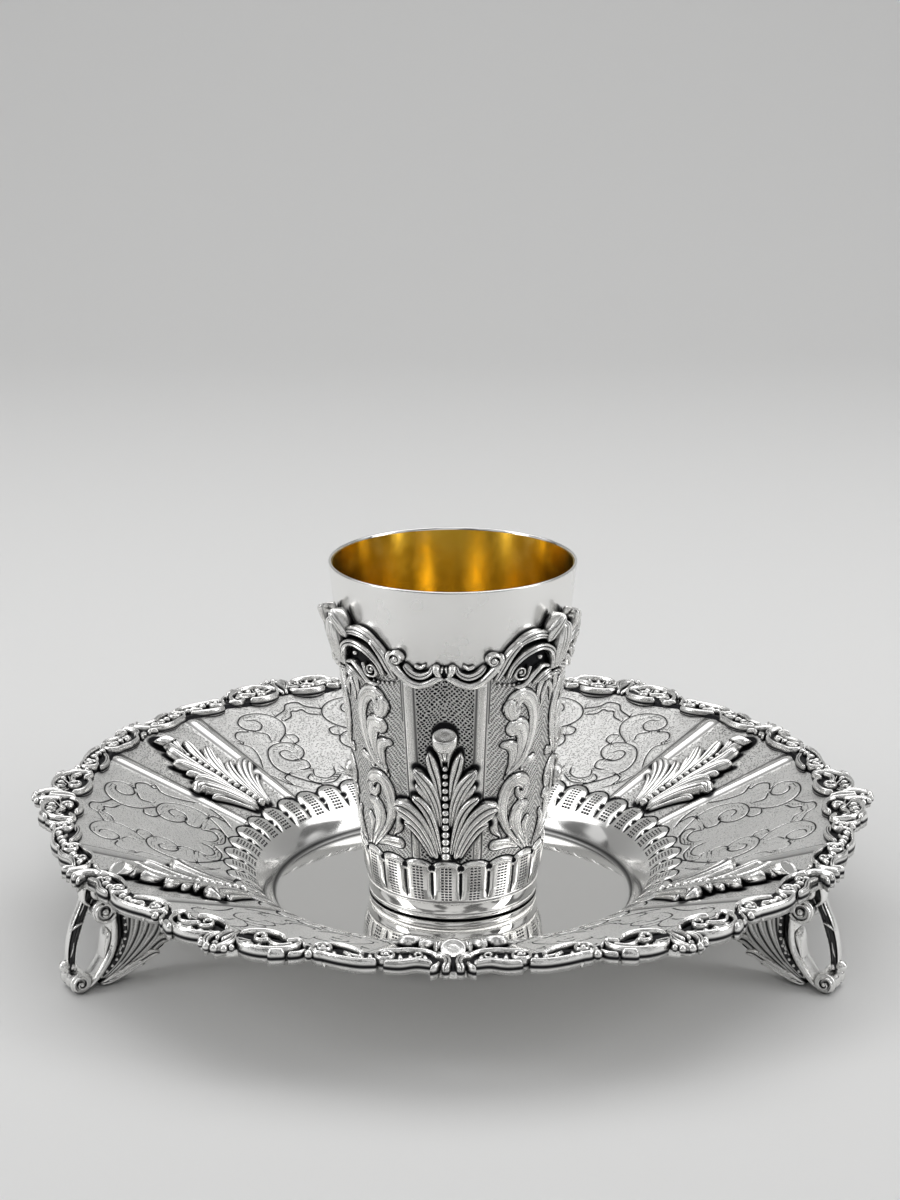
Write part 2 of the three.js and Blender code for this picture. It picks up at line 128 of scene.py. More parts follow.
def smooth_line(points, step=0.4):
    """An even line through a few points, each a row of place and width (Catmull-Rom)."""
    rows = np.array(points, float)
    rows = np.vstack([2 * rows[0] - rows[1], rows, 2 * rows[-1] - rows[-2]])
    share = np.linspace(0, 1, 25)[:-1, None]
    runs = []
    for before, start, end, after in zip(rows, rows[1:], rows[2:], rows[3:]):
        bend = 2 * before - 5 * start + 4 * end - after
        twist = 3 * (start - end) + after - before
        runs.append(0.5 * (2 * start + (end - before) * share + bend * share**2 + twist * share**3))
    fine = np.vstack(runs + [rows[-2:-1]])
    gone = np.concatenate([[0], np.cumsum(np.hypot(*np.diff(fine[:, :2], axis=0).T))])
    count = max(int(gone[-1] / step), 6)
    even = np.linspace(0, gone[-1], count + 1)
    return np.stack([np.interp(even, gone, column) for column in fine.T], axis=1)


def to_segment(start, end, x, y):
    """How far points are from a straight piece of line, and where along it they are (0 to 1)."""
    (x0, y0), (x1, y1) = start, end
    length = (x1 - x0) ** 2 + (y1 - y0) ** 2
    share = np.clip(((x - x0) * (x1 - x0) + (y - y0) * (y1 - y0)) / length, 0, 1)
    return np.hypot(x - x0 - share * (x1 - x0), y - y0 - share * (y1 - y0)), share


def stroke_field(strokes, x, y):
    """Strokes laid one over another on a ground: how far a point is inside the nearest
    outline (less than 0 on the ground), and how far it is across its own stroke (0 to 1)."""
    outline = np.full(x.shape, -9.0)
    across = np.ones(x.shape)
    width = np.ones(x.shape)
    for line in strokes:
        away = np.full(x.shape, 99.0)
        half = np.ones(x.shape)
        for start, end in zip(line, line[1:]):
            here, share = to_segment(start[:2], end[:2], x, y)
            nearer = here < away
            away = np.where(nearer, here, away)
            half = np.where(nearer, 0.5 * (start[2] + share * (end[2] - start[2])), half)
        inside = half - away
        apart = np.where(outline > 0, np.minimum(outline, -inside), np.maximum(outline, inside))
        outline = np.where(inside > 0, inside, apart)
        across = np.where(inside > 0, away / half, across)
        width = np.where(inside > 0, half, width)
    return outline, across, width


def line_field(lines, x, y):
    """How far a point is from the nearest of some open lines, with a sign for its side."""
    away = np.full(x.shape, 99.0)
    side = np.ones(x.shape)
    for line in lines:
        for (x0, y0), (x1, y1) in zip(line, line[1:]):
            here = to_segment((x0, y0), (x1, y1), x, y)[0]
            left = (x1 - x0) * (y - y0) > (y1 - y0) * (x - x0)
            side = np.where(here < away, np.where(left, 1, -1), side)
            away = np.minimum(away, here)
    return side * np.where(away < 3.0, away, 99)


def dome(across):
    """The rounded top of a stroke or reed, from 1 on its middle line to 0 at its side."""
    return np.sqrt(np.clip(1 - across**2, 0, 1))


def groove(distance, width):
    """1 at the bottom of a groove, fading to 0 about two widths away."""
    return np.exp(-((distance / width) ** 2))


def reed(across):
    """A broad reed between two thin ones: its height, and the distance from its grooves."""
    side = np.abs(across)
    broad = dome(side / 0.66) * (side < 0.66)
    thin = 0.55 * dome((side - 0.84) / 0.16) * (np.abs(side - 0.84) < 0.16)
    return np.maximum(broad, thin), np.minimum(np.abs(side - 0.67), np.abs(side - 1.0))


def tongue_field(side, along, half, crown, notch):
    """One tongue, by distance from its middle line and up its length: the height of its
    raised pad and the distance in from its round crown."""
    part = np.clip(side / half, 0, 1)
    top = notch + (crown - notch) * np.sqrt(1 - part**2)
    slope = (crown - notch) / half * part / np.sqrt(np.clip(1 - part**2, 0.04, 1))
    under_crown = (top - along) / np.hypot(1, slope)
    pad = 0.55 * np.clip(np.minimum(half - side - 0.1, under_crown) / 1.0, 0, 1) ** 0.7
    height = pad * np.clip(along / 3.0, 0, 1) * (under_crown > 0)
    return height - 0.3 * groove(np.hypot(half - side, along - notch), 0.7), under_crown


def from_middle(degrees, period):
    """How many degrees a direction is from the middle of the nearest of some even repeats."""
    return np.abs((degrees + period / 2) % period - period / 2)


def mirror_columns(columns, panels):
    """How many columns half a panel has, and which of them each column round the piece repeats."""
    half = columns // panels // 2
    column = np.arange(columns) % (2 * half)
    return half, np.minimum(column, 2 * half - column)


def tongue_ring(degrees, radius, along, count, crown, notch):
    """A ring of tongues that stand where along is 0: their height, and the marks for the
    punched lines in and between them."""
    turn = 360 / count
    side = radius * np.radians(from_middle(degrees, turn))
    half = radius * math.radians(turn / 2)
    height, under_crown = tongue_field(side, along, half, crown, notch)
    return height, {"tongue_side": side, "tongue_edge": half - side, "tongue_up": along - notch,
                    "crown": under_crown}


def padded(marks, before, after):
    """The marks of the chased rows, with plain values for the rows before and after them."""
    plain = {"outline": 9, "across": 1, "rough": 0.2, "tongue_side": 9, "tongue_edge": 9,
             "tongue_up": -9, "crown": -9}
    whole = {}
    for name, values in marks.items():
        below, beyond = (np.full(rows.shape[:2], plain.get(name, 0.0)) for rows in (before, after))
        whole[name] = np.concatenate([below, values, beyond])
    return whole


def dish_height(radius):
    """The top of the dish: flat over the well, then a rounded step and an even slope."""
    past = np.maximum(radius - WELL_RADIUS, 0)
    return WELL_TOP + STEP * (1 - np.exp(-past / STEP_RUN)) + RIM_SLOPE * past


def dish_slope(radius):
    past = np.asarray(radius - WELL_RADIUS, float)
    return np.where(past > 0, STEP / STEP_RUN * np.exp(-np.maximum(past, 0) / STEP_RUN) + RIM_SLOPE, 0.0)


def turned_points(radius, height, angle):
    """Rings by columns of points round the upright axis, from the front toward +X."""
    return np.stack([radius * np.sin(angle), -radius * np.cos(angle), height + 0 * angle], axis=-1)


def make_piece(name, points, faces, marks, material, crease=None):
    """A mesh object in metres with numbers stored on its points for its material."""
    mesh = bpy.data.meshes.new(name)
    mesh.from_pydata((np.asarray(points) * MM).tolist(), [], faces)
    shape = bmesh.new()
    shape.from_mesh(mesh)
    bmesh.ops.recalc_face_normals(shape, faces=shape.faces)
    shape.to_mesh(mesh)
    shape.free()
    for mark, values in marks.items():
        mesh.attributes.new(mark, "FLOAT", "POINT").data.foreach_set("value", np.ravel(values))
    mesh.polygons.foreach_set("use_smooth", [True] * len(mesh.polygons))
    if crease:
        mesh.set_sharp_from_angle(angle=math.radians(crease))
    mesh.materials.append(material)
    piece = bpy.data.objects.new(name, mesh)
    bpy.context.collection.objects.link(piece)
    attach(piece, "root")
    return piece


def ring_faces(rings, columns, hoop=False):
    """Faces between rings of points. The two end rings are filled by one face each, or in a
    hoop the last ring is joined to the first."""
    row = np.arange(rings if hoop else rings - 1)[:, None] * columns
    past = (row + columns) % (rings * columns)
    here = np.arange(columns)[None, :]
    beside = (here + 1) % columns
    faces = np.stack([row + here, row + beside, past + beside, past + here], axis=-1)
    faces = faces.reshape(-1, 4).tolist()
    if not hoop:
        faces.append(list(range(columns)))
        faces.append(list(range((rings - 1) * columns, rings * columns)))
    return faces


def add_node(tree, kind, inputs=(), **settings):
    """One shader node. An input is a socket with a plain value or another node's output."""
    made = tree.nodes.new(kind)
    for key, value in settings.items():
        setattr(made, key, value)
    for socket, value in inputs:
        if isinstance(value, bpy.types.NodeSocket):
            tree.links.new(value, made.inputs[socket])
        else:
            made.inputs[socket].default_value = value
    return made


def sums(tree, operation, first, *others):
    """A sum on one value, or on several one after another, by the name of its operation."""
    if not others:
        return add_node(tree, "ShaderNodeMath", [(0, first)], operation=operation).outputs[0]
    result = first
    for value in others:
        inputs = [(0, result), (1, value)]
        result = add_node(tree, "ShaderNodeMath", inputs, operation=operation).outputs[0]
    return result


def product(tree, *values):
    """Values multiplied together."""
    return sums(tree, "MULTIPLY", *values)


def most(tree, *values):
    """The highest of some values."""
    return sums(tree, "MAXIMUM", *values)


def ramp(tree, value, low, high, start=0.0, end=1.0):
    """A soft step from start to end as the value goes from low to high."""
    inputs = [("Value", value), ("From Min", low), ("From Max", high), ("To Min", start), ("To Max", end)]
    return add_node(tree, "ShaderNodeMapRange", inputs, interpolation_type="SMOOTHSTEP").outputs[0]


def mark_on(tree, name):
    """A number that the mesh carries on its points."""
    return add_node(tree, "ShaderNodeAttribute", attribute_name=name).outputs["Fac"]


def grains(tree, size):
    """Round dents of about this size in mm, 1 in the middle of a dent."""
    place = add_node(tree, "ShaderNodeTexCoord").outputs["Object"]
    cells = add_node(tree, "ShaderNodeTexVoronoi", [("Vector", place), ("Scale", 1 / (size * MM))])
    return ramp(tree, cells.outputs["Distance"], 0.15, 0.5, 1.0, 0.0)


def clouds(tree, size, detail=3.0):
    """Soft uneven patches of about this size in mm, around 0.5."""
    place = add_node(tree, "ShaderNodeTexCoord").outputs["Object"]
    inputs = [("Vector", place), ("Scale", 1 / (size * MM)), ("Detail", detail)]
    return add_node(tree, "ShaderNodeTexNoise", inputs).outputs["Fac"]


def pits(tree, pitch, long):
    """Rows of small slanting punch marks on the cup, pitch mm apart and longer than wide."""
    arc = sums(tree, "ADD", mark_on(tree, "arc"), product(tree, clouds(tree, 2.4), 2.2))
    up = sums(tree, "ADD", mark_on(tree, "up"), product(tree, clouds(tree, 1.7), 1.0))
    turn = math.pi / (1.4 * pitch)
    first = sums(tree, "SINE", product(tree, sums(tree, "ADD", arc, up), turn))
    second = sums(tree, "SINE", product(tree, sums(tree, "SUBTRACT", arc, up), turn / long))
    return ramp(tree, sums(tree, "ABSOLUTE", product(tree, first, second)), 0.15, 0.7)


SILVER = (0.93, 0.925, 0.91, 1)
# The black of the oxide, also used for the painted shade.
OXIDE_AND_SHADE_BLACK = (0.018, 0.018, 0.02, 1)


def new_material(name, inputs):
    """A material with plain values set on its surface, its node tree and the surface."""
    material = bpy.data.materials.new(name)
    material.use_nodes = True
    surface = material.node_tree.nodes["Principled BSDF"]
    for socket, value in inputs:
        surface.inputs[socket].default_value = value
    return material, material.node_tree, surface


def silver_surface(name, dark, rough, height, depth):
    """Finishes a material: silver where dark is 0 and black where it is 1, for oxide and painted
    shade, with its roughness, and a surface raised by height times depth in mm."""
    material, tree, surface = new_material(name, [("Metallic", 1.0)])
    dark_here = dark(tree)
    tint = add_node(tree, "ShaderNodeMix", [("Factor", dark_here), ("A", SILVER), ("B", OXIDE_AND_SHADE_BLACK)],
                    data_type="RGBA")
    tree.links.new(tint.outputs["Result"], surface.inputs["Base Color"])
    rough_here = sums(tree, "ADD", rough(tree), product(tree, dark_here, 0.3))
    tree.links.new(rough_here, surface.inputs["Roughness"])
    bump = add_node(tree, "ShaderNodeBump", [("Height", height(tree)), ("Distance", depth * MM)])
    tree.links.new(bump.outputs["Normal"], surface.inputs["Normal"])
    return material


def hollow_oxide_and_painted_shade(tree, reach, low, high):
    """Painted shade, with the oxide that lies there, by how closed in a point is: 1 deep in corners and
    under castings, 0 in the open.
    """
    # Painted shade: ambient occlusion turned into dark colour.
    shade = add_node(tree, "ShaderNodeAmbientOcclusion", [("Distance", reach * MM)], samples=8)
    return ramp(tree, shade.outputs["AO"], low, high, 1.0, 0.0)


def chased_line(tree, half_width):
    """The cut line round each scroll."""
    return ramp(tree, sums(tree, "ABSOLUTE", mark_on(tree, "outline")), 0.04, half_width, 1.0, 0.0)


def chased_veins(tree):
    """A lighter cut inside each broad scroll, beside its middle line."""
    across = mark_on(tree, "across")
    first = ramp(tree, sums(tree, "ABSOLUTE", sums(tree, "SUBTRACT", across, 0.42)), 0.03, 0.12, 1.0, 0.0)
    inside = ramp(tree, mark_on(tree, "outline"), 0.3, 0.5)
    return product(tree, first, inside)


def from_row(tree, value, pitch):
    """How far a value is from the nearest of even rows, pitch apart."""
    row = product(tree, sums(tree, "ROUND", sums(tree, "DIVIDE", value, pitch)), pitch)
    return sums(tree, "ABSOLUTE", sums(tree, "SUBTRACT", value, row))


def punched_dots(tree):
    """Rows of short punch marks down each tongue."""
    side = mark_on(tree, "tongue_side")
    up = mark_on(tree, "tongue_up")
    wide = ramp(tree, from_row(tree, side, 0.95), 0.3, 0.42, 1.0, 0.0)
    tall = ramp(tree, from_row(tree, up, 0.8), 0.15, 0.28, 1.0, 0.0)
    inside = ramp(tree, side, 1.35, 1.45, 1.0, 0.0)
    under_crown = ramp(tree, mark_on(tree, "crown"), 1.3, 1.4)
    above_foot = ramp(tree, mark_on(tree, "slit"), 0.0, 0.02)
    return product(tree, wide, tall, inside, under_crown, above_foot)


def tongue_lines(tree, reach):
    """The black line over each crown, the slit between two tongues and the dot above it."""
    edge = mark_on(tree, "tongue_edge")
    up = mark_on(tree, "tongue_up")
    from_crown = sums(tree, "ABSOLUTE", sums(tree, "ADD", mark_on(tree, "crown"), 0.3))
    over = ramp(tree, from_crown, 0.15, 0.2 + reach, 1.0, 0.0)
    slit = ramp(tree, sums(tree, "SUBTRACT", edge, mark_on(tree, "slit")), 0.0, reach, 1.0, 0.0)
    below_dot = ramp(tree, up, -1.5, -1.2, 1.0, 0.0)
    foot = ramp(tree, mark_on(tree, "slit"), 0.0, 0.06)
    slit = product(tree, slit, below_dot, foot)
    away = sums(tree, "SQRT", sums(tree, "ADD", product(tree, edge, edge), product(tree, up, up)))
    return most(tree, over, slit, ramp(tree, away, 0.66, 0.72 + reach, 1.0, 0.0))


# The size of the matting's grains, and the pitch and length of the two kinds of punch marks.
MATTING = 0.55
COARSE = (0.74, 1.25)
DASHES = (0.52, 1.9)


def chased_dark(tree):
    """Oxide left in the matting, the punch marks, the cut lines, the grooves and the corners, and painted
    shade in the corners, under the castings and round the leaves, with a painted dark ring round the well.
    """
    ground = mark_on(tree, "ground")
    matting = product(tree, ground, sums(tree, "ADD", product(tree, grains(tree, MATTING), 0.34), 0.13))
    pitted = most(tree, pits(tree, *COARSE), 0.32)
    coarse = product(tree, mark_on(tree, "coarse"), pitted)
    dashes = product(tree, mark_on(tree, "dashes"), pits(tree, *DASHES), 0.62)
    lines = product(tree, chased_line(tree, 0.26), 0.9)
    veins = product(tree, chased_veins(tree), 0.3)
    dots = product(tree, punched_dots(tree), 0.95)
    # Painted shade joins the oxide here: the shadow round the leaves, the dark ring round the well, and the
    # shade in corners and under castings.
    dark = most(tree, matting, coarse, dashes, lines, veins, dots, tongue_lines(tree, 0.12),
                mark_on(tree, "oxide_and_painted_shade"), hollow_oxide_and_painted_shade(tree, 1.6, 0.25, 0.7))
    return ramp(tree, dark, 0.0, 0.92)


def chased_rough(tree):
    smudge = ramp(tree, clouds(tree, 9.0), 0.45, 0.8, 0.0, 0.08)
    return sums(tree, "ADD", mark_on(tree, "rough"), smudge)


def chased_height(tree):
    """The tool marks that are too fine for the mesh, cut into the surface."""
    dents = product(tree, mark_on(tree, "ground"), grains(tree, MATTING), 1.9)
    coarse = product(tree, mark_on(tree, "coarse"), pits(tree, *COARSE))
    dashes = product(tree, mark_on(tree, "dashes"), pits(tree, *DASHES))
    cut = most(tree, dents, coarse, dashes, punched_dots(tree), product(tree, chased_veins(tree), 0.6))
    lines = product(tree, most(tree, chased_line(tree, 0.42), tongue_lines(tree, 0.3)), 2.0)
    return sums(tree, "SUBTRACT", 0.0, most(tree, cut, lines))


chased_silver = silver_surface("chased silver", chased_dark, chased_rough, chased_height, 0.12)


def leaf_shadow(x, y):
    """The shadow painted on the ground round a leaf, with the oxide that lies there: 1 under the leaf and 0
    a little way off.
    """
    lines = [smooth_line(LEAF_BUD, 1.5)]
    for lobe in LEAF_LOBES:
        for side in (-1, 1):
            lines.append(smooth_line([(side * row[0], row[1], row[3]) for row in lobe], 1.5))
    return np.clip(1.0 + stroke_field(lines, x, y)[0] / 1.3, 0, 1) ** 1.2


def dish_scrolls(columns, radius, from_leaf):
    """How far each point is from the chased lines of the wide panels, with a sign for its side."""
    period = 360 / PLATE_PANELS
    reach = period / 2 - PLATE_REED - PLATE_REED_HALF

    def on_rim(x, y):
        out = SCROLL_FOOT + SCROLL_LENGTH * y
        turn = np.radians(x * reach)
        return out * math.sin(turn), out * math.cos(turn)

    half, mirror = mirror_columns(columns, PLATE_PANELS)
    from_panel = np.radians(period / 2 - from_leaf)
    x = (radius * np.sin(from_panel))[:, :half + 1]
    y = (radius * np.cos(from_panel))[:, :half + 1]
    lines = [smooth_line([on_rim(*point) for point in line], 0.6) for line in SCROLL_LINES]
    return line_field(lines, x, y)[:, mirror]


def dish_under(angle):
    """The plain underside, a sheet's thickness under the smooth top."""
    rings = np.array([RIM_END, 80, 60, 55, 52, 50, 48.6, 47.4, 46.4, 45.8, 44, 1e-3])[:, None]
    slope = dish_slope(rings)
    length = np.hypot(1, slope)
    return turned_points(rings + SHEET * slope / length + 0 * angle,
                         dish_height(rings) - SHEET / length, angle)


def make_dish():
    columns = 960
    rings = np.concatenate([[1e-3, 20, 40, 44, 45.4, 45.8, 46.2, 46.8, 47.6, 48.6, 49.6],
                            np.arange(50.4, 60.0, 0.5), np.linspace(60.0, RIM_END, 61)])
    angle = np.arange(columns) * 2 * np.pi / columns
    radius = rings[:, None] + 0 * angle
    degrees = np.degrees(angle)[None, :] + 0 * radius
    from_leaf = from_middle(degrees, 360 / PLATE_PANELS)

    reed_across = (from_leaf - PLATE_REED) / PLATE_REED_HALF
    on_reed = (np.abs(reed_across) < 1) & (radius > TONGUE_CROWN - 5)
    outline = dish_scrolls(columns, radius, from_leaf)
    outline = np.where(on_reed | (from_leaf < PLATE_REED), 99, outline)
    scroll = 0.2 * np.clip(outline / 0.5, 0, 1) * np.exp(-np.abs(outline) / 1.4)
    reed_height, reed_groove = reed(reed_across)

    along = radius - TONGUE_FOOT
    notch = TONGUE_NOTCH - TONGUE_FOOT
    tongue, tongue_marks = tongue_ring(degrees, radius, along, PLATE_TONGUES,
                                       TONGUE_CROWN - TONGUE_FOOT, notch)
    under_crown = tongue_marks["crown"]
    above = under_crown < 0
    fade = np.clip((RIM_END - radius) / 2, 0, 1)
    relief = np.where(on_reed, 0.75 * reed_height, scroll)
    relief = np.where(above, relief * np.clip(-under_crown / 0.8, 0, 1), tongue) * fade
    relief = np.where(radius < TONGUE_FOOT, 0, relief)
    ground = (above & ~on_reed & (radius > TONGUE_NOTCH)) * np.where(from_leaf < PLATE_REED, 1.25, 0.9)
    outline = np.where(above, outline, 99)
    oxide_and_painted_shade = np.where(on_reed & above, 0.7 * groove(reed_groove, 0.1), 0)
    # A dark ring painted round the foot of the step stands in for the dark reflection there.
    oxide_and_painted_shade = np.maximum(oxide_and_painted_shade, 0.8 * groove(radius - WELL_RADIUS - 0.4, 0.6))
    rough = np.where(radius < WELL_RADIUS, 0.03, np.where(radius < TONGUE_FOOT, 0.1, 0.16))
    rough = np.where(ground > 0, 0.38, rough)

    # The leaf's shadow is painted on the ground round it.
    leaf_turn = np.radians(from_leaf)
    shadow = leaf_shadow(radius * np.sin(leaf_turn), radius * np.cos(leaf_turn) - LEAF_ON_PLATE)
    oxide_and_painted_shade = np.maximum(oxide_and_painted_shade, np.where(above & (from_leaf < 15), shadow, 0))

    slope = dish_slope(radius)
    length = np.hypot(1, slope)
    top = turned_points(radius - relief * slope / length, dish_height(radius) + relief / length, angle)
    under = dish_under(angle)
    points = np.concatenate([top, under])
    # The plate's scroll lines are cut wider than the cup's: their distances count for less.
    marks = padded({
        "outline": 0.72 * outline,
        "across": np.ones(radius.shape),
        "ground": ground,
        "oxide_and_painted_shade": oxide_and_painted_shade,
        "rough": rough,
        "slit": 0.38 * np.clip(2 * along / notch, 0, 1) - (along < 0),
        **tongue_marks,
    }, top[:0], under)
    faces = ring_faces(len(points), columns)
    return make_piece("plate_dish_chased", points.reshape(-1, 3), faces, marks, chased_silver)


dish = make_dish()
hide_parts("plate_dish")


# ======== the plate's border
# A sand-cast openwork moulding in silver, soldered over the dish's edge: six crests of two
# buds, each between two rocaille shells, then running volutes and a bow over each leaf. Its
# hollows are left black and its ridges are burnished; the black deep in its corners is
# oxide with painted shade.

BORDER_UNDER = box_of("plate_border")[0][2]
BORDER_FLOOR = BORDER_UNDER + 1.6
CAST_STEP = 0.55


def cast_stroke(rows, ridges=1, sink=1.0, both=False, dark=0.0):
    """One stroke of a casting. Each row is place across, place up, lift, width and height.
    It has this many ridges, round ends, and a flat back sunk below it (or a second face)."""
    line = smooth_line(rows, CAST_STEP)
    gone = np.concatenate([[0], np.cumsum(np.hypot(*np.diff(line[:, :2], axis=0).T))])
    cap = min(0.5 * line[:, 3].max(), gone[-1] / 3)
    ends = cap * np.array([0, 0.08, 0.3, 0.62])
    middle = np.linspace(cap, gone[-1] - cap, max(int((gone[-1] - 2 * cap) / CAST_STEP), 2) + 1)
    places = np.concatenate([ends, middle, gone[-1] - ends[::-1]])
    x, y, lift, width, height = (np.interp(places, gone, column) for column in line.T)
    to_end = np.clip(np.minimum(places, gone[-1] - places) / cap, 0, 1)
    taper = np.maximum(np.sqrt(1 - (1 - to_end) ** 2), 0.1)
    along = np.stack([np.gradient(x, places), np.gradient(y, places)], axis=1)
    along /= np.maximum(np.hypot(*along.T), 1e-9)[:, None]

    count = {1: 8, 2: 11, 3: 14}[ridges]
    u = np.sin(np.linspace(-np.pi / 2, np.pi / 2, count)) * 0.5 + np.linspace(-0.5, 0.5, count)
    wave = np.abs(np.sin(np.pi * ridges * (u + 1) / 2)) if ridges > 1 else np.ones(count)
    profile = dome(u) ** 0.6 * (0.66 + 0.34 * wave) if ridges > 1 else dome(u) ** 0.9
    half = 0.5 * (width * taper)[:, None]
    rise = (height * taper)[:, None] * profile
    top = [x[:, None] - along[:, 1:] * half * u, y[:, None] + along[:, :1] * half * u,
           lift[:, None] + rise]
    if both:
        back_u = u[-2:0:-1]
        back_rise = -(lift[:, None] + rise)[:, -2:0:-1]
    else:
        back_u = np.array([0.8, -0.8])
        back_rise = (lift - sink)[:, None] + 0 * back_u
    back = [x[:, None] - along[:, 1:] * half * back_u, y[:, None] + along[:, :1] * half * back_u,
            back_rise]
    points = np.concatenate([np.stack(top, axis=-1), np.stack(back, axis=-1)], axis=1)
    groove_top = np.clip(1 - wave * 1.25, 0, 1) * (dome(u) > 0.2) + 0 * half
    marks = np.full(points.shape[:2], dark, float)
    marks[:, :count] = np.maximum(marks[:, :count], groove_top)
    return points.reshape(-1, 3), ring_faces(*points.shape[:2]), marks.ravel()


def cast_bead(x, y, lift, radius, tall=1.0, columns=12, rings=7):
    """A ball of a casting, half sunk at its lift."""
    turn = np.linspace(0.12, np.pi - 0.12, rings)[:, None]
    angle = np.arange(columns) * 2 * np.pi / columns
    points = np.stack([x + radius * np.sin(turn) * np.cos(angle), y + radius * np.sin(turn) * np.sin(angle),
                       lift + tall * radius * np.cos(turn) + 0 * angle], axis=-1)
    return points.reshape(-1, 3), ring_faces(rings, columns), np.zeros(rings * columns)


def volute(x, y, radius, start, turns, width, height, lift=0.0, tail=()):
    """Rows of a stroke that comes along its tail and winds in to a raised eye, with the angle
    it starts at in degrees and its turns (against the clock if more than 0)."""
    rows = [(*row, lift, width, height) for row in tail]
    for share in np.linspace(0, 1, int(abs(turns) * 9) + 1):
        angle = math.radians(start + 360 * turns * share)
        out = radius * (1 - 0.68 * share)
        rows.append((x + out * math.cos(angle), y + out * math.sin(angle), lift + 0.3 * share,
                     width * (1 - 0.35 * share), height))
    return rows


def mirrored(shapes, axis=0):
    """The shapes of a half, and the same turned over the middle line (or another axis)."""
    flip = np.where(np.arange(3) == axis, -1.0, 1.0)
    return shapes + [(points * flip, faces, marks) for points, faces, marks in shapes]


def casting(name, shapes, places, material):
    """One casting from its shapes, set down at each of its places."""
    points, faces, marks, low = [], [], [], []
    count = 0
    for place in places:
        for corners, sides, groove_marks in shapes:
            points.append(place(*corners.T))
            faces += [[corner + count for corner in side] for side in sides]
            marks.append(groove_marks)
            low.append(corners[:, 2])
            count += len(corners)
    marks = {"groove": np.concatenate(marks), "lift": np.concatenate(low)}
    return make_piece(name, np.concatenate(points), faces, marks, material)


def cast_dark(tree):
    """Oxide low on the sides of each shape and in its grooves, and oxide with painted shade in
    deep corners. A groove mark under 0 keeps the sides of a shape bright."""
    lift = mark_on(tree, "lift")
    groove_mark = mark_on(tree, "groove")
    low = product(tree, ramp(tree, lift, -0.7, -0.1), ramp(tree, lift, 0.25, 0.95, 1.0, 0.0),
                  ramp(tree, groove_mark, -0.9, -0.1))
    grooves = ramp(tree, groove_mark, 0.2, 0.75)
    # Painted shade, with oxide, deep in corners and under other castings.
    deep = hollow_oxide_and_painted_shade(tree, 2.0, 0.32, 0.82)
    return most(tree, low, grooves, deep)


def cast_rough(tree):
    return ramp(tree, clouds(tree, 3.0), 0.3, 0.8, 0.15, 0.3)


def cast_height(tree):
    """The slightly uneven skin that the sand leaves."""
    fine = sums(tree, "ADD", clouds(tree, 0.9), product(tree, clouds(tree, 0.4), 0.5))
    return sums(tree, "ADD", fine, product(tree, clouds(tree, 3.5), 2.0))


cast_silver = silver_surface("cast silver", cast_dark, cast_rough, cast_height, 0.06)


def border_strip(edges, end, repeats, section):
    """A closed band round the ring through sections given for half a repeat by degrees."""
    half = sorted(edges + [end])
    whole = half + [(2 * end[0] - row[0], *row[1:]) for row in half[-2:0:-1]]
    rings = []
    for repeat in range(repeats):
        for row in whole:
            rings.append(section(math.radians(row[0] + repeat * 360 / repeats), *row[1:]))
    points = np.array(rings)
    return points.reshape(-1, 3), ring_faces(*points.shape[:2], hoop=True)


# The outline of half a repeat: degrees from the crest, outer radius and inner radius.
PLATE_BORDER_EDGES = [
    (0, 106.0, 97.4), (2, 105.4, 97.0), (3.2, 103.0, 95.6), (7, 103.6, 95.0), (10, 101.8, 95.8),
    (11.6, 100.2, 96.4), (14, 101.6, 95.5), (19.5, 101.2, 96.4), (26.5, 100.4, 96.0), (28.2, 103.4, 96.8),
]
PLATE_BORDER_END = (30, 104.4, 97.2)


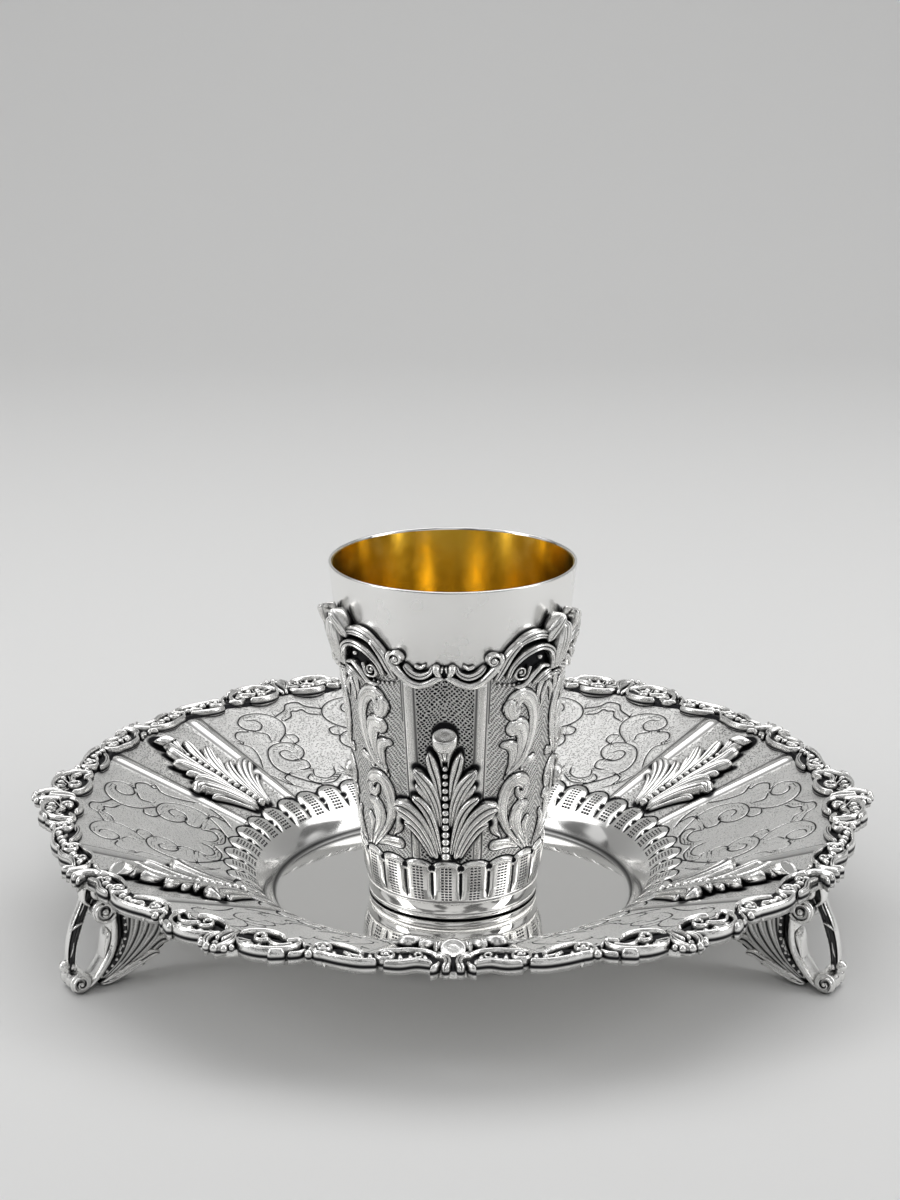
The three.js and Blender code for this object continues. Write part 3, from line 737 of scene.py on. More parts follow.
# The strokes of half a repeat: ridges, how far the back is sunk, and rows by mm along the
# edge from the crest, radius, lift, width and height.
PLATE_BORDER_STROKES = [
    (2, 1.6, [(1.5, 99.6, 0.2, 1.2, 1.5), (2.8, 102.4, 0.5, 2.0, 1.7), (2.4, 105.0, 0.5, 1.8, 1.6),
              (1.0, 107.0, 0.3, 1.2, 1.3)]),
    (1, 1.6, [(0.5, 96.6, 0.1, 1.2, 1.2), (1.1, 99.6, 0.3, 1.3, 1.6), (0.7, 103.6, 0.5, 1.2, 1.6)]),
    (1, 1.8, [(3.2, 101.4, 0.2, 1.0, 1.7), (5.4, 103.4, 0.4, 1.3, 1.9), (9.0, 104.1, 0.4, 1.4, 2.0),
              (12.6, 103.4, 0.4, 1.4, 2.0), (15.6, 101.2, 0.3, 1.3, 1.9), (17.0, 98.0, 0.2, 1.3, 1.8),
              (16.4, 95.6, 0.0, 1.1, 1.6)]),
    (1, 1.2, [(2.0, 98.0, 0.2, 1.0, 1.7), (3.4, 95.8, 0.1, 1.3, 1.8), (6.6, 94.6, 0.1, 1.5, 1.9),
              (10.0, 94.6, 0.1, 1.4, 1.9), (12.6, 95.8, 0.2, 1.1, 1.7)]),
    (1, 1.4, volute(7.6, 97.8, 2.0, 20, 1.2, 1.0, 1.5, 0.4, [(15.8, 98.4), (13.6, 100.2), (11.2, 99.8)])),
    (1, 1.2, [(18.6, 98.2, 0.2, 0.9, 1.5), (16.4, 96.0, 0.2, 1.2, 1.7), (13.4, 97.2, 0.2, 1.1, 1.6)]),
    (1, 2.0, [(12.4, 104.6, 0.4, 1.7, 2.0), (15.8, 102.8, 0.4, 1.8, 1.9)]),
    (1, 1.6, [(16.4, 103.0, 0.1, 1.0, 1.4), (18.4, 101.6, 0.1, 1.1, 1.4), (19.4, 99.4, 0.1, 0.9, 1.3)]),
    (1, 1.7, volute(23.0, 98.6, 2.7, 70, 1.45, 1.15, 1.8, 0.2,
                    [(36.0, 101.9), (32.6, 102.6), (28.6, 102.2), (25.8, 101.6)])),
    (2, 1.2, [(22.0, 95.4, 0.1, 1.0, 1.5), (25.6, 95.2, 0.1, 1.4, 1.7), (29.4, 96.4, 0.1, 1.4, 1.7),
              (32.4, 98.6, 0.2, 1.1, 1.5)]),
    (1, 1.4, [(27.6, 98.4, 0.1, 0.9, 1.4), (30.0, 99.8, 0.1, 1.1, 1.5), (33.0, 100.4, 0.1, 0.9, 1.4)]),
    (1, 1.5, volute(37.6, 99.2, 2.5, 245, -1.4, 1.15, 1.8, 0.2,
                    [(49.0, 98.4), (46.4, 96.2), (42.4, 95.6), (39.0, 96.4)])),
    (2, 1.7, [(37.4, 102.2, 0.2, 1.0, 1.7), (40.8, 102.2, 0.3, 1.5, 1.8), (44.4, 100.9, 0.3, 1.4, 1.8),
              (48.0, 101.6, 0.2, 1.1, 1.6)]),
    (1, 1.5, volute(44.4, 98.4, 1.4, 120, -1.1, 0.85, 1.5, 0.2)),
    (2, 1.8, [(48.0, 98.2, 0.2, 1.0, 1.7), (50.4, 99.0, 0.4, 1.6, 1.8), (51.2, 101.6, 0.5, 1.9, 1.8),
              (50.6, 104.6, 0.4, 2.0, 1.8)]),
    (1, 1.7, [(49.4, 101.6, 0.2, 0.9, 1.6), (48.8, 103.4, 0.3, 1.2, 1.7), (47.6, 104.6, 0.2, 0.9, 1.5)]),
    (1, 1.2, [(51.9, 96.9, 0.1, 1.0, 1.5), (50.4, 97.4, 0.1, 1.2, 1.6), (48.6, 96.0, 0.1, 1.0, 1.4)]),
]


def plate_border_shapes():
    """Half a repeat from the crest to the bow: across is mm along the edge, up is the radius."""
    shapes = [cast_stroke(rows, ridges, sink) for ridges, sink, rows in PLATE_BORDER_STROKES]
    for bead in ((0.95, 107.0, 0.9, 0.9), (2.9, 106.2, 0.8, 0.8), (3.9, 104.7, 0.7, 0.75),
                 (0.0, 105.0, 0.9, 0.8), (20.6, 101.2, 0.7, 1.0), (20.2, 98.6, 0.6, 0.75),
                 (23.0, 98.6, 1.4, 0.8), (37.6, 99.2, 1.4, 0.8)):
        shapes.append(cast_bead(*bead, 1.2))
    # A row of small lobes along the outer edge.
    for x in (6.6, 9.4, 12.2, 21.8, 24.2, 26.4, 29.8, 32.2, 34.4, 38.6, 41.0, 43.2, 46.4):
        edge = np.interp(x / 1.745, *zip(*[row[:2] for row in PLATE_BORDER_EDGES])) + 0.2
        shapes.append(cast_stroke([(x - 0.5, edge - 2.4, 0.7, 0.7, 1.2), (x, edge - 0.5, 0.3, 1.6, 1.3),
                                   (x + 0.3, edge + 0.1, -1.1, 1.2, 0.9)], 1, 0.8))
    # The ribs of the shell beside the crest.
    for turn in range(16, 176, 20):
        c, s = math.cos(math.radians(turn)), math.sin(math.radians(turn))
        shapes.append(cast_stroke([(8.2 + 2.6 * c, 98.6 + 2.0 * s, 0.1, 0.4, 0.8),
                                   (8.2 + 5.0 * c, 98.6 + 3.6 * s, 0.1, 0.6, 1.2),
                                   (8.2 + 6.8 * c, 98.6 + 5.0 * s, 0.1, 0.6, 1.4)], 1, 1.0))
    return mirrored(shapes)


def on_plate_edge(turn):
    """Lays a casting along the dish's edge, level but never under the dish."""
    def place(x, y, height):
        angle = x / 100 + turn
        level = BORDER_FLOOR + height
        level = np.where(y < DISH_EDGE + 0.8, np.maximum(level, dish_height(y) + 0.05), level)
        return turned_points(y, level, angle)
    return place


def plate_strip_section(angle, outer, inner):
    """The band under the castings, hooked over the edge of the dish."""
    out = DISH_EDGE + 0.9
    corners = [(inner, dish_height(inner) + 0.1), (out, dish_height(out) + 0.1), (out, BORDER_UNDER),
               (outer - 0.5, BORDER_UNDER), (outer, BORDER_UNDER + 0.5), (outer - 0.2, BORDER_FLOOR + 0.1),
               (outer - 1.2, BORDER_FLOOR + 0.3), (inner + 0.8, dish_height(inner) + 0.9)]
    return turned_points(*np.array(corners).T, angle)


def make_plate_border():
    half_turn = math.pi / PLATE_PANELS
    places = [on_plate_edge(half_turn * (2 * i + 1)) for i in range(PLATE_PANELS)]
    border = casting("plate_border_cast", plate_border_shapes(), places, cast_silver)
    strip, faces = border_strip(PLATE_BORDER_EDGES, PLATE_BORDER_END, PLATE_PANELS,
                                lambda angle, *row: plate_strip_section(angle + half_turn, *row))
    lift = np.tile([0.0, 0.0, 0.0, -2.0, -2.0, -0.4, 0.0, 0.0], len(strip) // 8)
    marks = {"groove": np.zeros(len(strip)), "lift": lift}
    base = make_piece("plate_border_back", strip, faces, marks, cast_silver, crease=40)
    return border, base


for piece in make_plate_border():
    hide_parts("plate_border")


# ======== the plate's leaves
# Six cast acanthus leaves in silver, one in the middle of each narrow panel. Each has a
# beaded stem, six curling lobes a side and a round bud at its tip, and is soldered down.

def turned_bud(low, high, radius, lift):
    """The round cap of the bud, lying along the leaf, with a rim and a dished end. Its groove
    marks of -1 keep it burnished all round."""
    turn = np.arange(24) * 2 * np.pi / 24
    stations = [(low, 0.92), (low + 0.5, 0.95), (low + 0.8, 1.0), (high - 0.3, 1.0), (high, 0.95),
                (high + 0.08, 0.84), (high - 0.12, 0.74), (high - 0.06, 0.4), (high, 0.02)]
    rings = [np.stack([radius * share * np.cos(turn), up - 0.5 * share * radius * np.sin(turn),
                       lift + 0.72 * radius * share * np.sin(turn)], axis=-1) for up, share in stations]
    return np.concatenate(rings), ring_faces(len(rings), 24), np.full(len(rings) * 24, -1.0)


def leaf_shapes():
    """The leaf from its foot (0) to its bud (37): the lobes of its right half and their
    mirror image, then the stem and the bud on its middle line."""
    lobes = [cast_stroke(lobe, ridges, 1.6) for lobe, ridges in zip(LEAF_LOBES, (2, 3, 2, 1, 3, 2))]
    lobes += [
        cast_stroke([(2.9, 3.0, 0.2, 0.5, 1.0), (4.4, 8.6, 0.6, 0.8, 1.5), (6.2, 12.4, 0.9, 0.8, 1.5)],
                    1, 1.0),
        cast_stroke([(0.7, 25.6, 0.2, 0.6, 1.2), (1.0, 28.6, 0.6, 0.9, 1.5), (2.0, 31.4, 1.0, 1.0, 1.6)],
                    1, 1.4),
    ]
    middle = [
        cast_stroke([(0, 0.4, 0.1, 3.6, 0.7), (0, 12, 0.2, 3.0, 0.7), (0, 27.0, 0.4, 1.6, 0.8)], 1, 1.0,
                    dark=1.0),
        cast_stroke([(0, 26.6, 0.4, 1.2, 1.4), (0, 29.0, 0.9, 2.8, 1.9), (0, 31.2, 1.2, 5.0, 2.3),
                     (0, 33.2, 1.3, 5.4, 2.5)], 3, 1.6),
        turned_bud(31.8, 34.6, 2.85, 1.9),
    ]
    beads = [cast_bead(0, 1.6 + 2.0 * i, 1.15, 1.12 - 0.025 * i, 1.2, columns=12,
                       rings=6) for i in range(13)]
    return mirrored(lobes) + middle + beads


def on_dish(turn):
    """Bends a casting onto the slope of the dish, with its middle line along a radius."""
    def place(x, y, height):
        out = np.hypot(x, y)
        angle = np.arctan2(x, y) + turn
        slope = dish_slope(out)
        length = np.hypot(1, slope)
        radius = out - height * slope / length
        level = dish_height(out) + height / length
        return turned_points(radius, level, angle)
    return place


def moved_along(shapes, along):
    """Shapes moved along their middle line before they are bent onto a wall."""
    return [(points + (0, along, 0), faces, marks) for points, faces, marks in shapes]


leaf = [(np.column_stack([points[:, :2], np.maximum(points[:, 2], 0.06)]), faces, marks)
        for points, faces, marks in leaf_shapes()]
for i in range(PLATE_PANELS):
    place = on_dish(i * 2 * math.pi / PLATE_PANELS)
    piece = casting(f"plate_leaf_{i + 1}_cast", moved_along(leaf, LEAF_ON_PLATE), [place], cast_silver)
    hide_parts(f"plate_leaf_{i + 1}")


# ======== the plate's feet
# Three cast scroll feet in silver, soldered under the border and the dish. Each stands on a
# rolled knuckle with a ball; a plain strap and a beaded band rise from it, with a leaf
# behind them and a slender edged bar in front.

FOOT_AZIMUTHS = (60, 180, 300)


def turned_roll(x, y, profile, columns=28):
    """A roll across the foot, turned about its own axis, by half width and radius."""
    angle = np.arange(columns) * 2 * np.pi / columns
    across = np.array([row[0] for row in profile])[:, None]
    radius = np.array([row[1] for row in profile])[:, None]
    points = np.stack([x + radius * np.cos(angle), y + radius * np.sin(angle), across + 0 * angle], axis=-1)
    return points.reshape(-1, 3), ring_faces(len(profile), columns), np.zeros(len(profile) * columns)


def round_both(half):
    """A profile over its whole width, from the half on one side."""
    return half + [(-across, radius) for across, radius in half[::-1]]


def both_faces(shapes):
    """Shapes on one face of the foot, and the same on its other face."""
    return mirrored(shapes, 2)


def scroll_face(x, y, radius, start, side):
    """The spiral and ball on the end of a roll, both faces."""
    return both_faces([
        cast_stroke(volute(x, y, radius, start, 1.35, 0.36 * radius, 0.75, side), 1, 1.0),
        cast_bead(x, y, side + 0.4, 0.3 * radius, 1.2),
    ])


# The outline of the leaf behind the foot, by radius and height.
FOOT_LEAF_BACK = [
    (99.4, 1.0), (96.6, 0.6), (93.2, 1.2), (89.6, 2.6), (85.6, 4.4), (81.8, 6.6), (80.4, 8.0), (80.6, 11.0),
    (81.0, 15.0), (82.4, 21.2), (88.0, 24.0), (94.6, 26.0), (94.2, 14.0), (96.4, 6.5),
]
# The veins of the leaf behind the foot, from its root by the knuckle up to their tips, and
# the lobes along its lower edge.
FOOT_VEINS = [
    [(98.6, 1.8), (94.4, 5.4), (91.4, 10.4), (90.4, 16.0), (90.6, 25.0)],
    [(97.8, 1.8), (93.2, 5.2), (89.6, 9.8), (87.8, 15.0), (87.6, 24.0)],
    [(97.0, 1.8), (92.2, 4.9), (87.8, 9.2), (85.4, 14.0), (84.6, 22.8)],
    [(96.2, 1.7), (91.2, 4.5), (86.2, 8.2), (83.2, 12.0), (81.6, 19.0)],
    [(95.4, 1.5), (90.2, 3.9), (85.6, 6.6), (82.4, 8.6), (79.8, 8.2)],
]
FOOT_LOBES = [
    [(95.6, 1.6), (91.6, 3.2), (87.6, 4.7), (84.6, 5.8), (82.6, 5.3)],
    [(97.2, 1.2), (94.0, 1.9), (91.0, 3.0), (88.4, 3.9), (86.6, 3.2)],
    [(98.8, 0.9), (96.8, 1.1), (94.8, 1.7), (93.0, 2.3), (91.6, 1.6)],
]


# The strap, its spur, the band under the beads, the bar, its knots, and two curls below the
# dish: how dark each is, and rows by radius, height, no lift, width and thickness.
FOOT_STROKES = [
    (0.0, [(104.6, 0.9, 0, 1.0, 3.0), (101.6, 1.2, 0, 1.7, 3.2), (98.0, 4.8, 0, 2.4, 3.3),
           (95.4, 9.2, 0, 2.6, 3.3), (94.6, 13.8, 0, 2.5, 3.2), (94.8, 18.4, 0, 2.0, 3.1)]),
    (0.0, [(97.6, 6.6, 0, 0.6, 2.2), (96.9, 9.4, 0, 1.2, 2.5), (96.2, 12.2, 0, 1.9, 2.7),
           (95.8, 14.2, 0, 1.0, 2.4)]),
    (1.0, [(99.8, 1.6, 0, 1.4, 1.9), (95.6, 4.6, 0, 2.2, 2.2), (92.4, 8.6, 0, 2.2, 2.2),
           (91.6, 13.4, 0, 2.0, 2.2), (92.4, 24.0, 0, 1.8, 2.2)]),
    (0.9, [(105.4, 5.0, 0, 1.0, 0.7), (104.9, 11.0, 0, 1.2, 0.8), (103.4, 16.4, 0, 1.4, 0.8),
           (101.2, 21.4, 0, 1.3, 0.8), (98.8, 26.6, 0, 1.8, 0.8)]),
    (0.0, [(105.4, 8.6, 0, 0.3, 0.8), (104.9, 10.4, 0, 0.6, 1.2), (104.3, 12.6, 0, 0.3, 0.8)]),
    (0.0, [(105.2, 15.4, 0, 0.5, 1.0), (103.4, 16.8, 0, 0.9, 1.6), (101.8, 17.0, 0, 0.5, 1.0)]),
    (0.0, [(102.8, 18.8, 0, 0.3, 0.8), (101.8, 21.0, 0, 0.6, 1.2), (100.8, 23.4, 0, 0.3, 0.8)]),
    (0.0, [(97.6, 22.2, 0, 1.8, 2.2), (99.4, 24.0, 0, 1.8, 2.2), (98.6, 26.6, 0, 1.8, 2.0)]),
    (0.0, [(99.6, 20.8, 0, 1.0, 1.6), (101.6, 22.6, 0, 1.3, 1.8), (101.2, 26.6, 0, 1.5, 1.8)]),
]


def foot_shapes():
    """The foot in the upright plane of the plate's middle: across is the radius, up the height."""
    knuckle = round_both([(3.5, 0.01), (3.5, 1.6), (3.6, 2.3), (3.4, 2.58), (2.9, 2.62), (2.4, 2.45),
                          (1.6, 2.3), (0.8, 2.5), (0.3, 2.6)])
    curl = round_both([(3.2, 0.01), (3.2, 2.1), (3.3, 2.8), (3.1, 3.1), (2.5, 3.1), (1.6, 2.7), (0.6, 2.6)])
    shapes = [
        turned_roll(104.0, 2.7, knuckle),
        turned_roll(97.2, 19.8, curl),
    ]
    shapes += [cast_stroke(rows, both=True, dark=dark) for dark, rows in FOOT_STROKES]
    # The two bright edges of the bar.
    for side in (-1, 1):
        edge = [(105.4 + 0.9 * side, 5.0), (104.9 + 1.1 * side, 11.0), (103.4 + 1.3 * side, 16.4),
                (101.2 + 1.2 * side, 21.4), (98.8 + 1.6 * side, 26.6)]
        shapes.append(cast_stroke([(x, y, 0, 0.5, 1.15) for x, y in edge], 1, both=True))
    shapes += [
        cast_bead(106.8, 6.6, 0, 1.4, columns=20, rings=12),
        cast_bead(104.6, 6.0, 0, 1.0, columns=14, rings=8),
    ]
    shapes += scroll_face(104.0, 2.7, 2.1, -60, 3.4)
    shapes += scroll_face(97.2, 19.8, 2.9, 200, 3.2)
    # The leaf behind: a dark slab, with veins and lobes on both its faces.
    back = np.array(FOOT_LEAF_BACK)
    slab = np.concatenate([np.column_stack([back, np.full(len(back), half)]) for half in (-0.9, 0.9)])
    shapes.append((slab, ring_faces(2, len(back)), np.ones(len(slab))))
    for vein in FOOT_VEINS:
        widths = (0.9, 2.2, 3.0, 3.2, 2.4)
        rows = [(x, y, 0.7, width, 1.4) for (x, y), width in zip(vein, widths)]
        shapes += both_faces([cast_stroke(rows, 2, 1.2, dark=0.42)])
    for lobe in FOOT_LOBES:
        widths = (1.0, 2.1, 2.9, 2.5, 1.1)
        rows = [(x, y, 0.9, width, 1.7) for (x, y), width in zip(lobe, widths)]
        shapes += both_faces([cast_stroke(rows, 2, 1.4)])
    for x, y in smooth_line([(98.4, 2.8), (95.2, 5.2), (92.5, 9.4), (91.7, 14.0), (92.2, 22.0)], 0.2)[::9]:
        shapes += both_faces([cast_bead(x, y, 2.0, 0.5, columns=8, rings=5)])
    return shapes


def on_foot(turn):
    """Stands a foot at its place round the plate, cut off where it meets the dish or border."""
    def place(x, y, height):
        level = np.minimum(y, np.where(x < DISH_EDGE + 0.5, dish_height(x) - 1.15, 27.0))
        return np.stack([x * np.sin(turn) + height * np.cos(turn), -x * np.cos(turn) + height * np.sin(turn),
                         np.maximum(level, 0.0)], axis=-1)
    return place


def cast_foot_dark(tree):
    grooves = ramp(tree, mark_on(tree, "groove"), 0.2, 0.8)
    # Oxide in the grooves, and painted shade with oxide in the corners.
    return product(tree, most(tree, grooves, hollow_oxide_and_painted_shade(tree, 2.2, 0.3, 0.72)), 0.95)


foot_silver = silver_surface("cast foot silver", cast_foot_dark, cast_rough, cast_height, 0.06)
foot = foot_shapes()
for i, azimuth in enumerate(FOOT_AZIMUTHS):
    piece = casting(f"plate_foot_{i + 1}_cast", foot, [on_foot(math.radians(azimuth))], foot_silver)
    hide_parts(f"plate_foot_{i + 1}")


# ======== the cup's wall
# A straight-sided tapering beaker, raised from sterling sheet and chased outside: a plain
# foot ring, twenty tongues, three leaf panels on a coarse ground and three scroll panels on
# a fine one, parted by reeds, and a plain satin band up to the lip.

# The scroll of one half panel, from the tongues (0) up to the border (1) and from the
# panel's middle line (0) across to the reed (1), with the width of each stroke in mm.
# They are laid one over another in this order.
SCROLL_STROKES = [
    [(0.10, 0.84, 0.8), (0.09, 0.90, 1.9), (0.02, 0.94, 1.6)],
    [(0.19, 0.86, 0.8), (0.19, 0.94, 2.2), (0.12, 0.99, 2.2), (0.04, 0.97, 1.4)],
    [(0.70, 0.11, 0.8), (0.82, 0.16, 2.2), (0.84, 0.23, 2.2)],
    [(0.33, 0.02, 0.8), (0.55, 0.06, 2.8), (0.80, 0.065, 3.2)],
    [(0.41, 0.49, 0.8), (0.29, 0.52, 2.3), (0.19, 0.53, 2.6)],
    [(0.07, 0.00, 0.8), (0.20, 0.08, 2.0), (0.24, 0.14, 2.3), (0.18, 0.18, 2.0)],
    [(0.14, 0.00, 0.8), (0.38, 0.12, 3.0), (0.44, 0.20, 4.2), (0.38, 0.26, 4.2), (0.27, 0.27, 2.6)],
    [(0.69, 0.45, 0.8), (0.59, 0.53, 2.4), (0.57, 0.60, 3.2), (0.64, 0.64, 3.2), (0.76, 0.65, 1.8)],
    [(0.63, 0.47, 0.8), (0.46, 0.56, 2.6), (0.41, 0.66, 4.2), (0.48, 0.735, 4.8), (0.60, 0.74, 4.8)],
    [(0.65, 0.47, 1.0), (0.43, 0.53, 2.2), (0.27, 0.65, 3.0), (0.24, 0.77, 3.5), (0.31, 0.86, 4.0),
     (0.44, 0.91, 4.2), (0.57, 0.91, 4.8), (0.66, 0.86, 5.4)],
    [(0.69, 0.87, 3.6), (0.66, 0.82, 3.2), (0.58, 0.81, 2.4), (0.53, 0.835, 1.6)],
    [(0.21, 0.00, 0.8), (0.58, 0.14, 2.0), (0.70, 0.25, 3.0), (0.70, 0.33, 3.6), (0.61, 0.405, 3.9),
     (0.45, 0.43, 3.9), (0.31, 0.40, 3.6), (0.29, 0.35, 3.2), (0.36, 0.335, 2.4)],
    [(0.28, 0.36, 2.4), (0.33, 0.325, 2.4), (0.42, 0.34, 2.0), (0.45, 0.37, 1.4)],
]

# The cup: heights in mm over its bottom, and its reeds by degrees from the middle of a leaf
# panel. It stands turned a little on the plate.
CUP_BOTTOM = box_of("cup_beaker")[0][2]
CUP_HEIGHT = box_of("cup_beaker")[1][2] - CUP_BOTTOM
CUP_WALL = 0.8
CUP_FLOOR = 1.6
CUP_TURN = math.radians(-4)
CUP_PANELS = 3
CUP_TONGUES = 20
CUP_TONGUE_FOOT = 5.2
CUP_TONGUE_NOTCH = 14.4
CUP_TONGUE_CROWN = 16.3
CUP_REED = 18.6
CUP_SCROLL_FOOT = 17.0
CUP_SCROLL_LENGTH = 46.5
CUP_PANEL_TOP = 65.5
LEAF_ON_CUP = box_of("cup_leaf_1")[0][2] - CUP_BOTTOM
# The inner wall: how far in from the lip it is, by height.
CUP_INSIDE = [(1.6, 72), (4.6, 44), (7.9, 14), (9.0, 3.4)]


def cup_radius(height):
    """The straight taper of the wall, by height over the bottom of the cup."""
    return 21.5 + 9.5 * height / CUP_HEIGHT


def panel_lines(strokes, place):
    """The strokes of a half panel, each with its mirror image over the panel's middle line."""
    lines = []
    for stroke in strokes:
        for mirror in (-1, 1):
            rows = [(*place(mirror * x, y), width) for x, y, width in stroke]
            lines.append(smooth_line(rows))
    return lines


def cup_scrolls(columns, radius, level, from_leaf):
    """The scrolls of the three panels: how far each point is inside an outline, how far it is
    across its own stroke, and half that stroke's width."""
    period = 360 / CUP_PANELS
    reach = math.radians(period / 2 - CUP_REED - 3.6)

    def on_wall(x, y):
        up = CUP_SCROLL_FOOT + CUP_SCROLL_LENGTH * y
        return x * reach * cup_radius(up), up

    half, mirror = mirror_columns(columns, CUP_PANELS)
    x = (np.radians(period / 2 - from_leaf) * radius)[:, :half + 1]
    fields = stroke_field(panel_lines(SCROLL_STROKES, on_wall), x, level[:, :half + 1])
    return [field[:, mirror] for field in fields]


def cup_bottom(angle):
    """The shallow recess under the cup, from its middle out to the foot ring."""
    rows = np.array([(1e-3, 0.7), (15, 0.7), (19.0, 0.7), (19.9, 0.5), (20.4, 0.05), (20.8, 0.0)])
    return turned_points(rows[:, :1], CUP_BOTTOM + rows[:, 1:], angle)


def cup_inside(angle):
    """From the rounded lip down the inner wall to the middle of the floor."""
    lip = cup_radius(CUP_HEIGHT)
    inner = lip - CUP_WALL
    rows = np.array([(lip - 0.12, 88.0), (lip - 0.4, 88.12), (lip - 0.68, 88.0), (inner, 87.6),
                     *[(inner - inward, up) for inward, up in CUP_INSIDE], (inner - 9.6, 2.0),
                     (inner - 10.6, CUP_FLOOR), (10, CUP_FLOOR), (1e-3, CUP_FLOOR)])
    return turned_points(rows[:, :1], CUP_BOTTOM + rows[:, 1:], angle)


def make_cup():
    columns = 480
    heights = np.concatenate([[0.0, 0.35, 0.8, 1.1, 1.25, 1.4, 1.7, 3.0, 4.2, 4.5, 4.7, 4.95],
                              np.arange(5.2, 17.2, 0.34), np.arange(17.2, 66.0, 0.43),
                              np.arange(66.5, 87, 2.9), [87.4, 87.8]])
    angle = np.arange(columns) * 2 * np.pi / columns
    level = heights[:, None] + 0 * angle
    radius = cup_radius(level)
    degrees = np.degrees(angle)[None, :] + 0 * level
    from_leaf = from_middle(degrees, 360 / CUP_PANELS)

    outline, across, width = cup_scrolls(columns, radius, level, from_leaf)
    reed_half = np.degrees((1.4 + 0.6 * (level - 17) / 48) / radius)
    reed_across = (from_leaf - CUP_REED) / reed_half
    on_reed = np.abs(reed_across) < 1
    outline = np.where(on_reed | (from_leaf < CUP_REED), -9, outline)
    reed_height, reed_groove = reed(reed_across)
    scroll = 0.7 * dome(across) ** 0.6 * np.clip(width / 1.2, 0.4, 1) * (outline > 0)

    along = level - CUP_TONGUE_FOOT
    notch = CUP_TONGUE_NOTCH - CUP_TONGUE_FOOT
    tongue, tongue_marks = tongue_ring(degrees, radius, along, CUP_TONGUES,
                                       CUP_TONGUE_CROWN - CUP_TONGUE_FOOT, notch)
    under_crown = tongue_marks["crown"]
    above = under_crown < 0

    relief = np.where(on_reed, 0.7 * reed_height, scroll) - 0.14 * groove(outline, 0.28)
    relief = np.where(above, relief * np.clip(-under_crown / 0.8, 0, 1), tongue)
    relief = np.where(level < CUP_TONGUE_FOOT, 0, relief) * np.clip((CUP_PANEL_TOP - level) / 1.5, 0, 1)
    relief -= 0.25 * groove(level - 1.25, 0.18) + 0.3 * groove(level - 4.75, 0.22)
    bare = (above & (outline < 0) & ~on_reed & (level > 10) & (level < CUP_PANEL_TOP + 0.3)).astype(float)
    oxide_and_painted_shade = np.where(on_reed & above, 0.9 * groove(reed_groove, 0.12), 0) * (level < CUP_PANEL_TOP - 0.5)
    oxide_and_painted_shade = np.maximum(oxide_and_painted_shade, 0.7 * groove(level - 4.75, 0.25) + 0.6 * groove(level - 1.25, 0.2))
    # The leaf's shadow is painted on the ground round it.
    shadow = leaf_shadow(np.radians(from_leaf) * radius, level - LEAF_ON_CUP)
    oxide_and_painted_shade = np.maximum(oxide_and_painted_shade, np.where(above & (from_leaf < 30) & (level < 62), shadow, 0))
    rough = np.where(level > CUP_PANEL_TOP - 0.5, 0.24, np.where(level < 5, 0.05, 0.15))
    rough = np.where(bare > 0, 0.34, rough)
    outside = turned_points(radius + relief, CUP_BOTTOM + level, angle)

    bottom = cup_bottom(angle)
    inside = cup_inside(angle)
    points = np.concatenate([bottom, outside, inside])
    marks = padded({
        "outline": np.where(above, outline, 9),
        "across": across,
        "dashes": bare * (from_leaf > CUP_REED),
        "coarse": bare * (from_leaf < CUP_REED),
        "arc": np.radians(from_leaf) * radius,
        "up": level,
        "oxide_and_painted_shade": oxide_and_painted_shade,
        "rough": rough,
        "slit": 0.2 * np.clip(along / 2, 0, 1) - (along < 0),
        **tongue_marks,
    }, bottom, inside)
    # The inside is polished smoother than the bottom.
    marks["rough"][-len(inside):] = 0.08
    c, s = math.cos(CUP_TURN), math.sin(CUP_TURN)
    turned = points.reshape(-1, 3) @ np.array([[c, s, 0], [-s, c, 0], [0, 0, 1]])
    return make_piece("cup_wall", turned, ring_faces(len(points), columns), marks, chased_silver)


cup = make_cup()
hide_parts("cup_beaker")


# ======== the gilding
# The inside of the cup is fire-gilt: a skin of gold burnished to a mirror over the whole
# inner wall and the floor, ending just under the silver lip.

GOLD = (0.77, 0.58, 0.15, 1)
PALE_GOLD = (0.85, 0.66, 0.21, 1)
GILDING_GAP = 0.03
GILDING_TOP = 87.5


def gilding_surface():
    material, tree, surface = new_material("burnished gilding", [("Metallic", 1.0)])
    depth = ramp(tree, clouds(tree, 14.0), 0.3, 0.7)
    tint = add_node(tree, "ShaderNodeMix", [("Factor", depth), ("A", GOLD), ("B", PALE_GOLD)],
                    data_type="RGBA")
    tree.links.new(tint.outputs["Result"], surface.inputs["Base Color"])
    tree.links.new(ramp(tree, clouds(tree, 5.0), 0.3, 0.8, 0.12, 0.24), surface.inputs["Roughness"])
    bump = add_node(tree, "ShaderNodeBump", [("Height", clouds(tree, 11.0, 1.0)), ("Distance", 0.1 * MM)])
    tree.links.new(bump.outputs["Normal"], surface.inputs["Normal"])
    return material


def make_gilding():
    inner = cup_radius(CUP_HEIGHT) - CUP_WALL
    floor = CUP_FLOOR + GILDING_GAP
    wall = np.array([(inner - GILDING_GAP, GILDING_TOP),
                     *[(inner - inward, up) for inward, up in CUP_INSIDE], (inner - 9.6, 2.05),
                     (inner - 10.6, floor), (10, floor), (1e-3, floor)]) - (GILDING_GAP, 0)
    skin = wall[::-1] + [(-0.1, 0.1)]
    skin[-1, 1] = GILDING_TOP
    angle = np.arange(180) * 2 * np.pi / 180
    profile = np.concatenate([wall, skin])
    profile[:, 0] = np.maximum(profile[:, 0], 1e-3)
    points = turned_points(profile[:, :1], CUP_BOTTOM + profile[:, 1:], angle)
    faces = ring_faces(len(profile), 180, hoop=True)
    return make_piece("cup_gilding", points.reshape(-1, 3), faces, {}, gilding_surface(), crease=50)


gilding = make_gilding()


# ======== the cup's border
# A cast moulding in silver soldered round the cup over its panels: a bow over each leaf,
# swags to a volute at each side, and over each scroll panel two shells under a tall crest.

CUP_BAND_RADIUS = 28.95


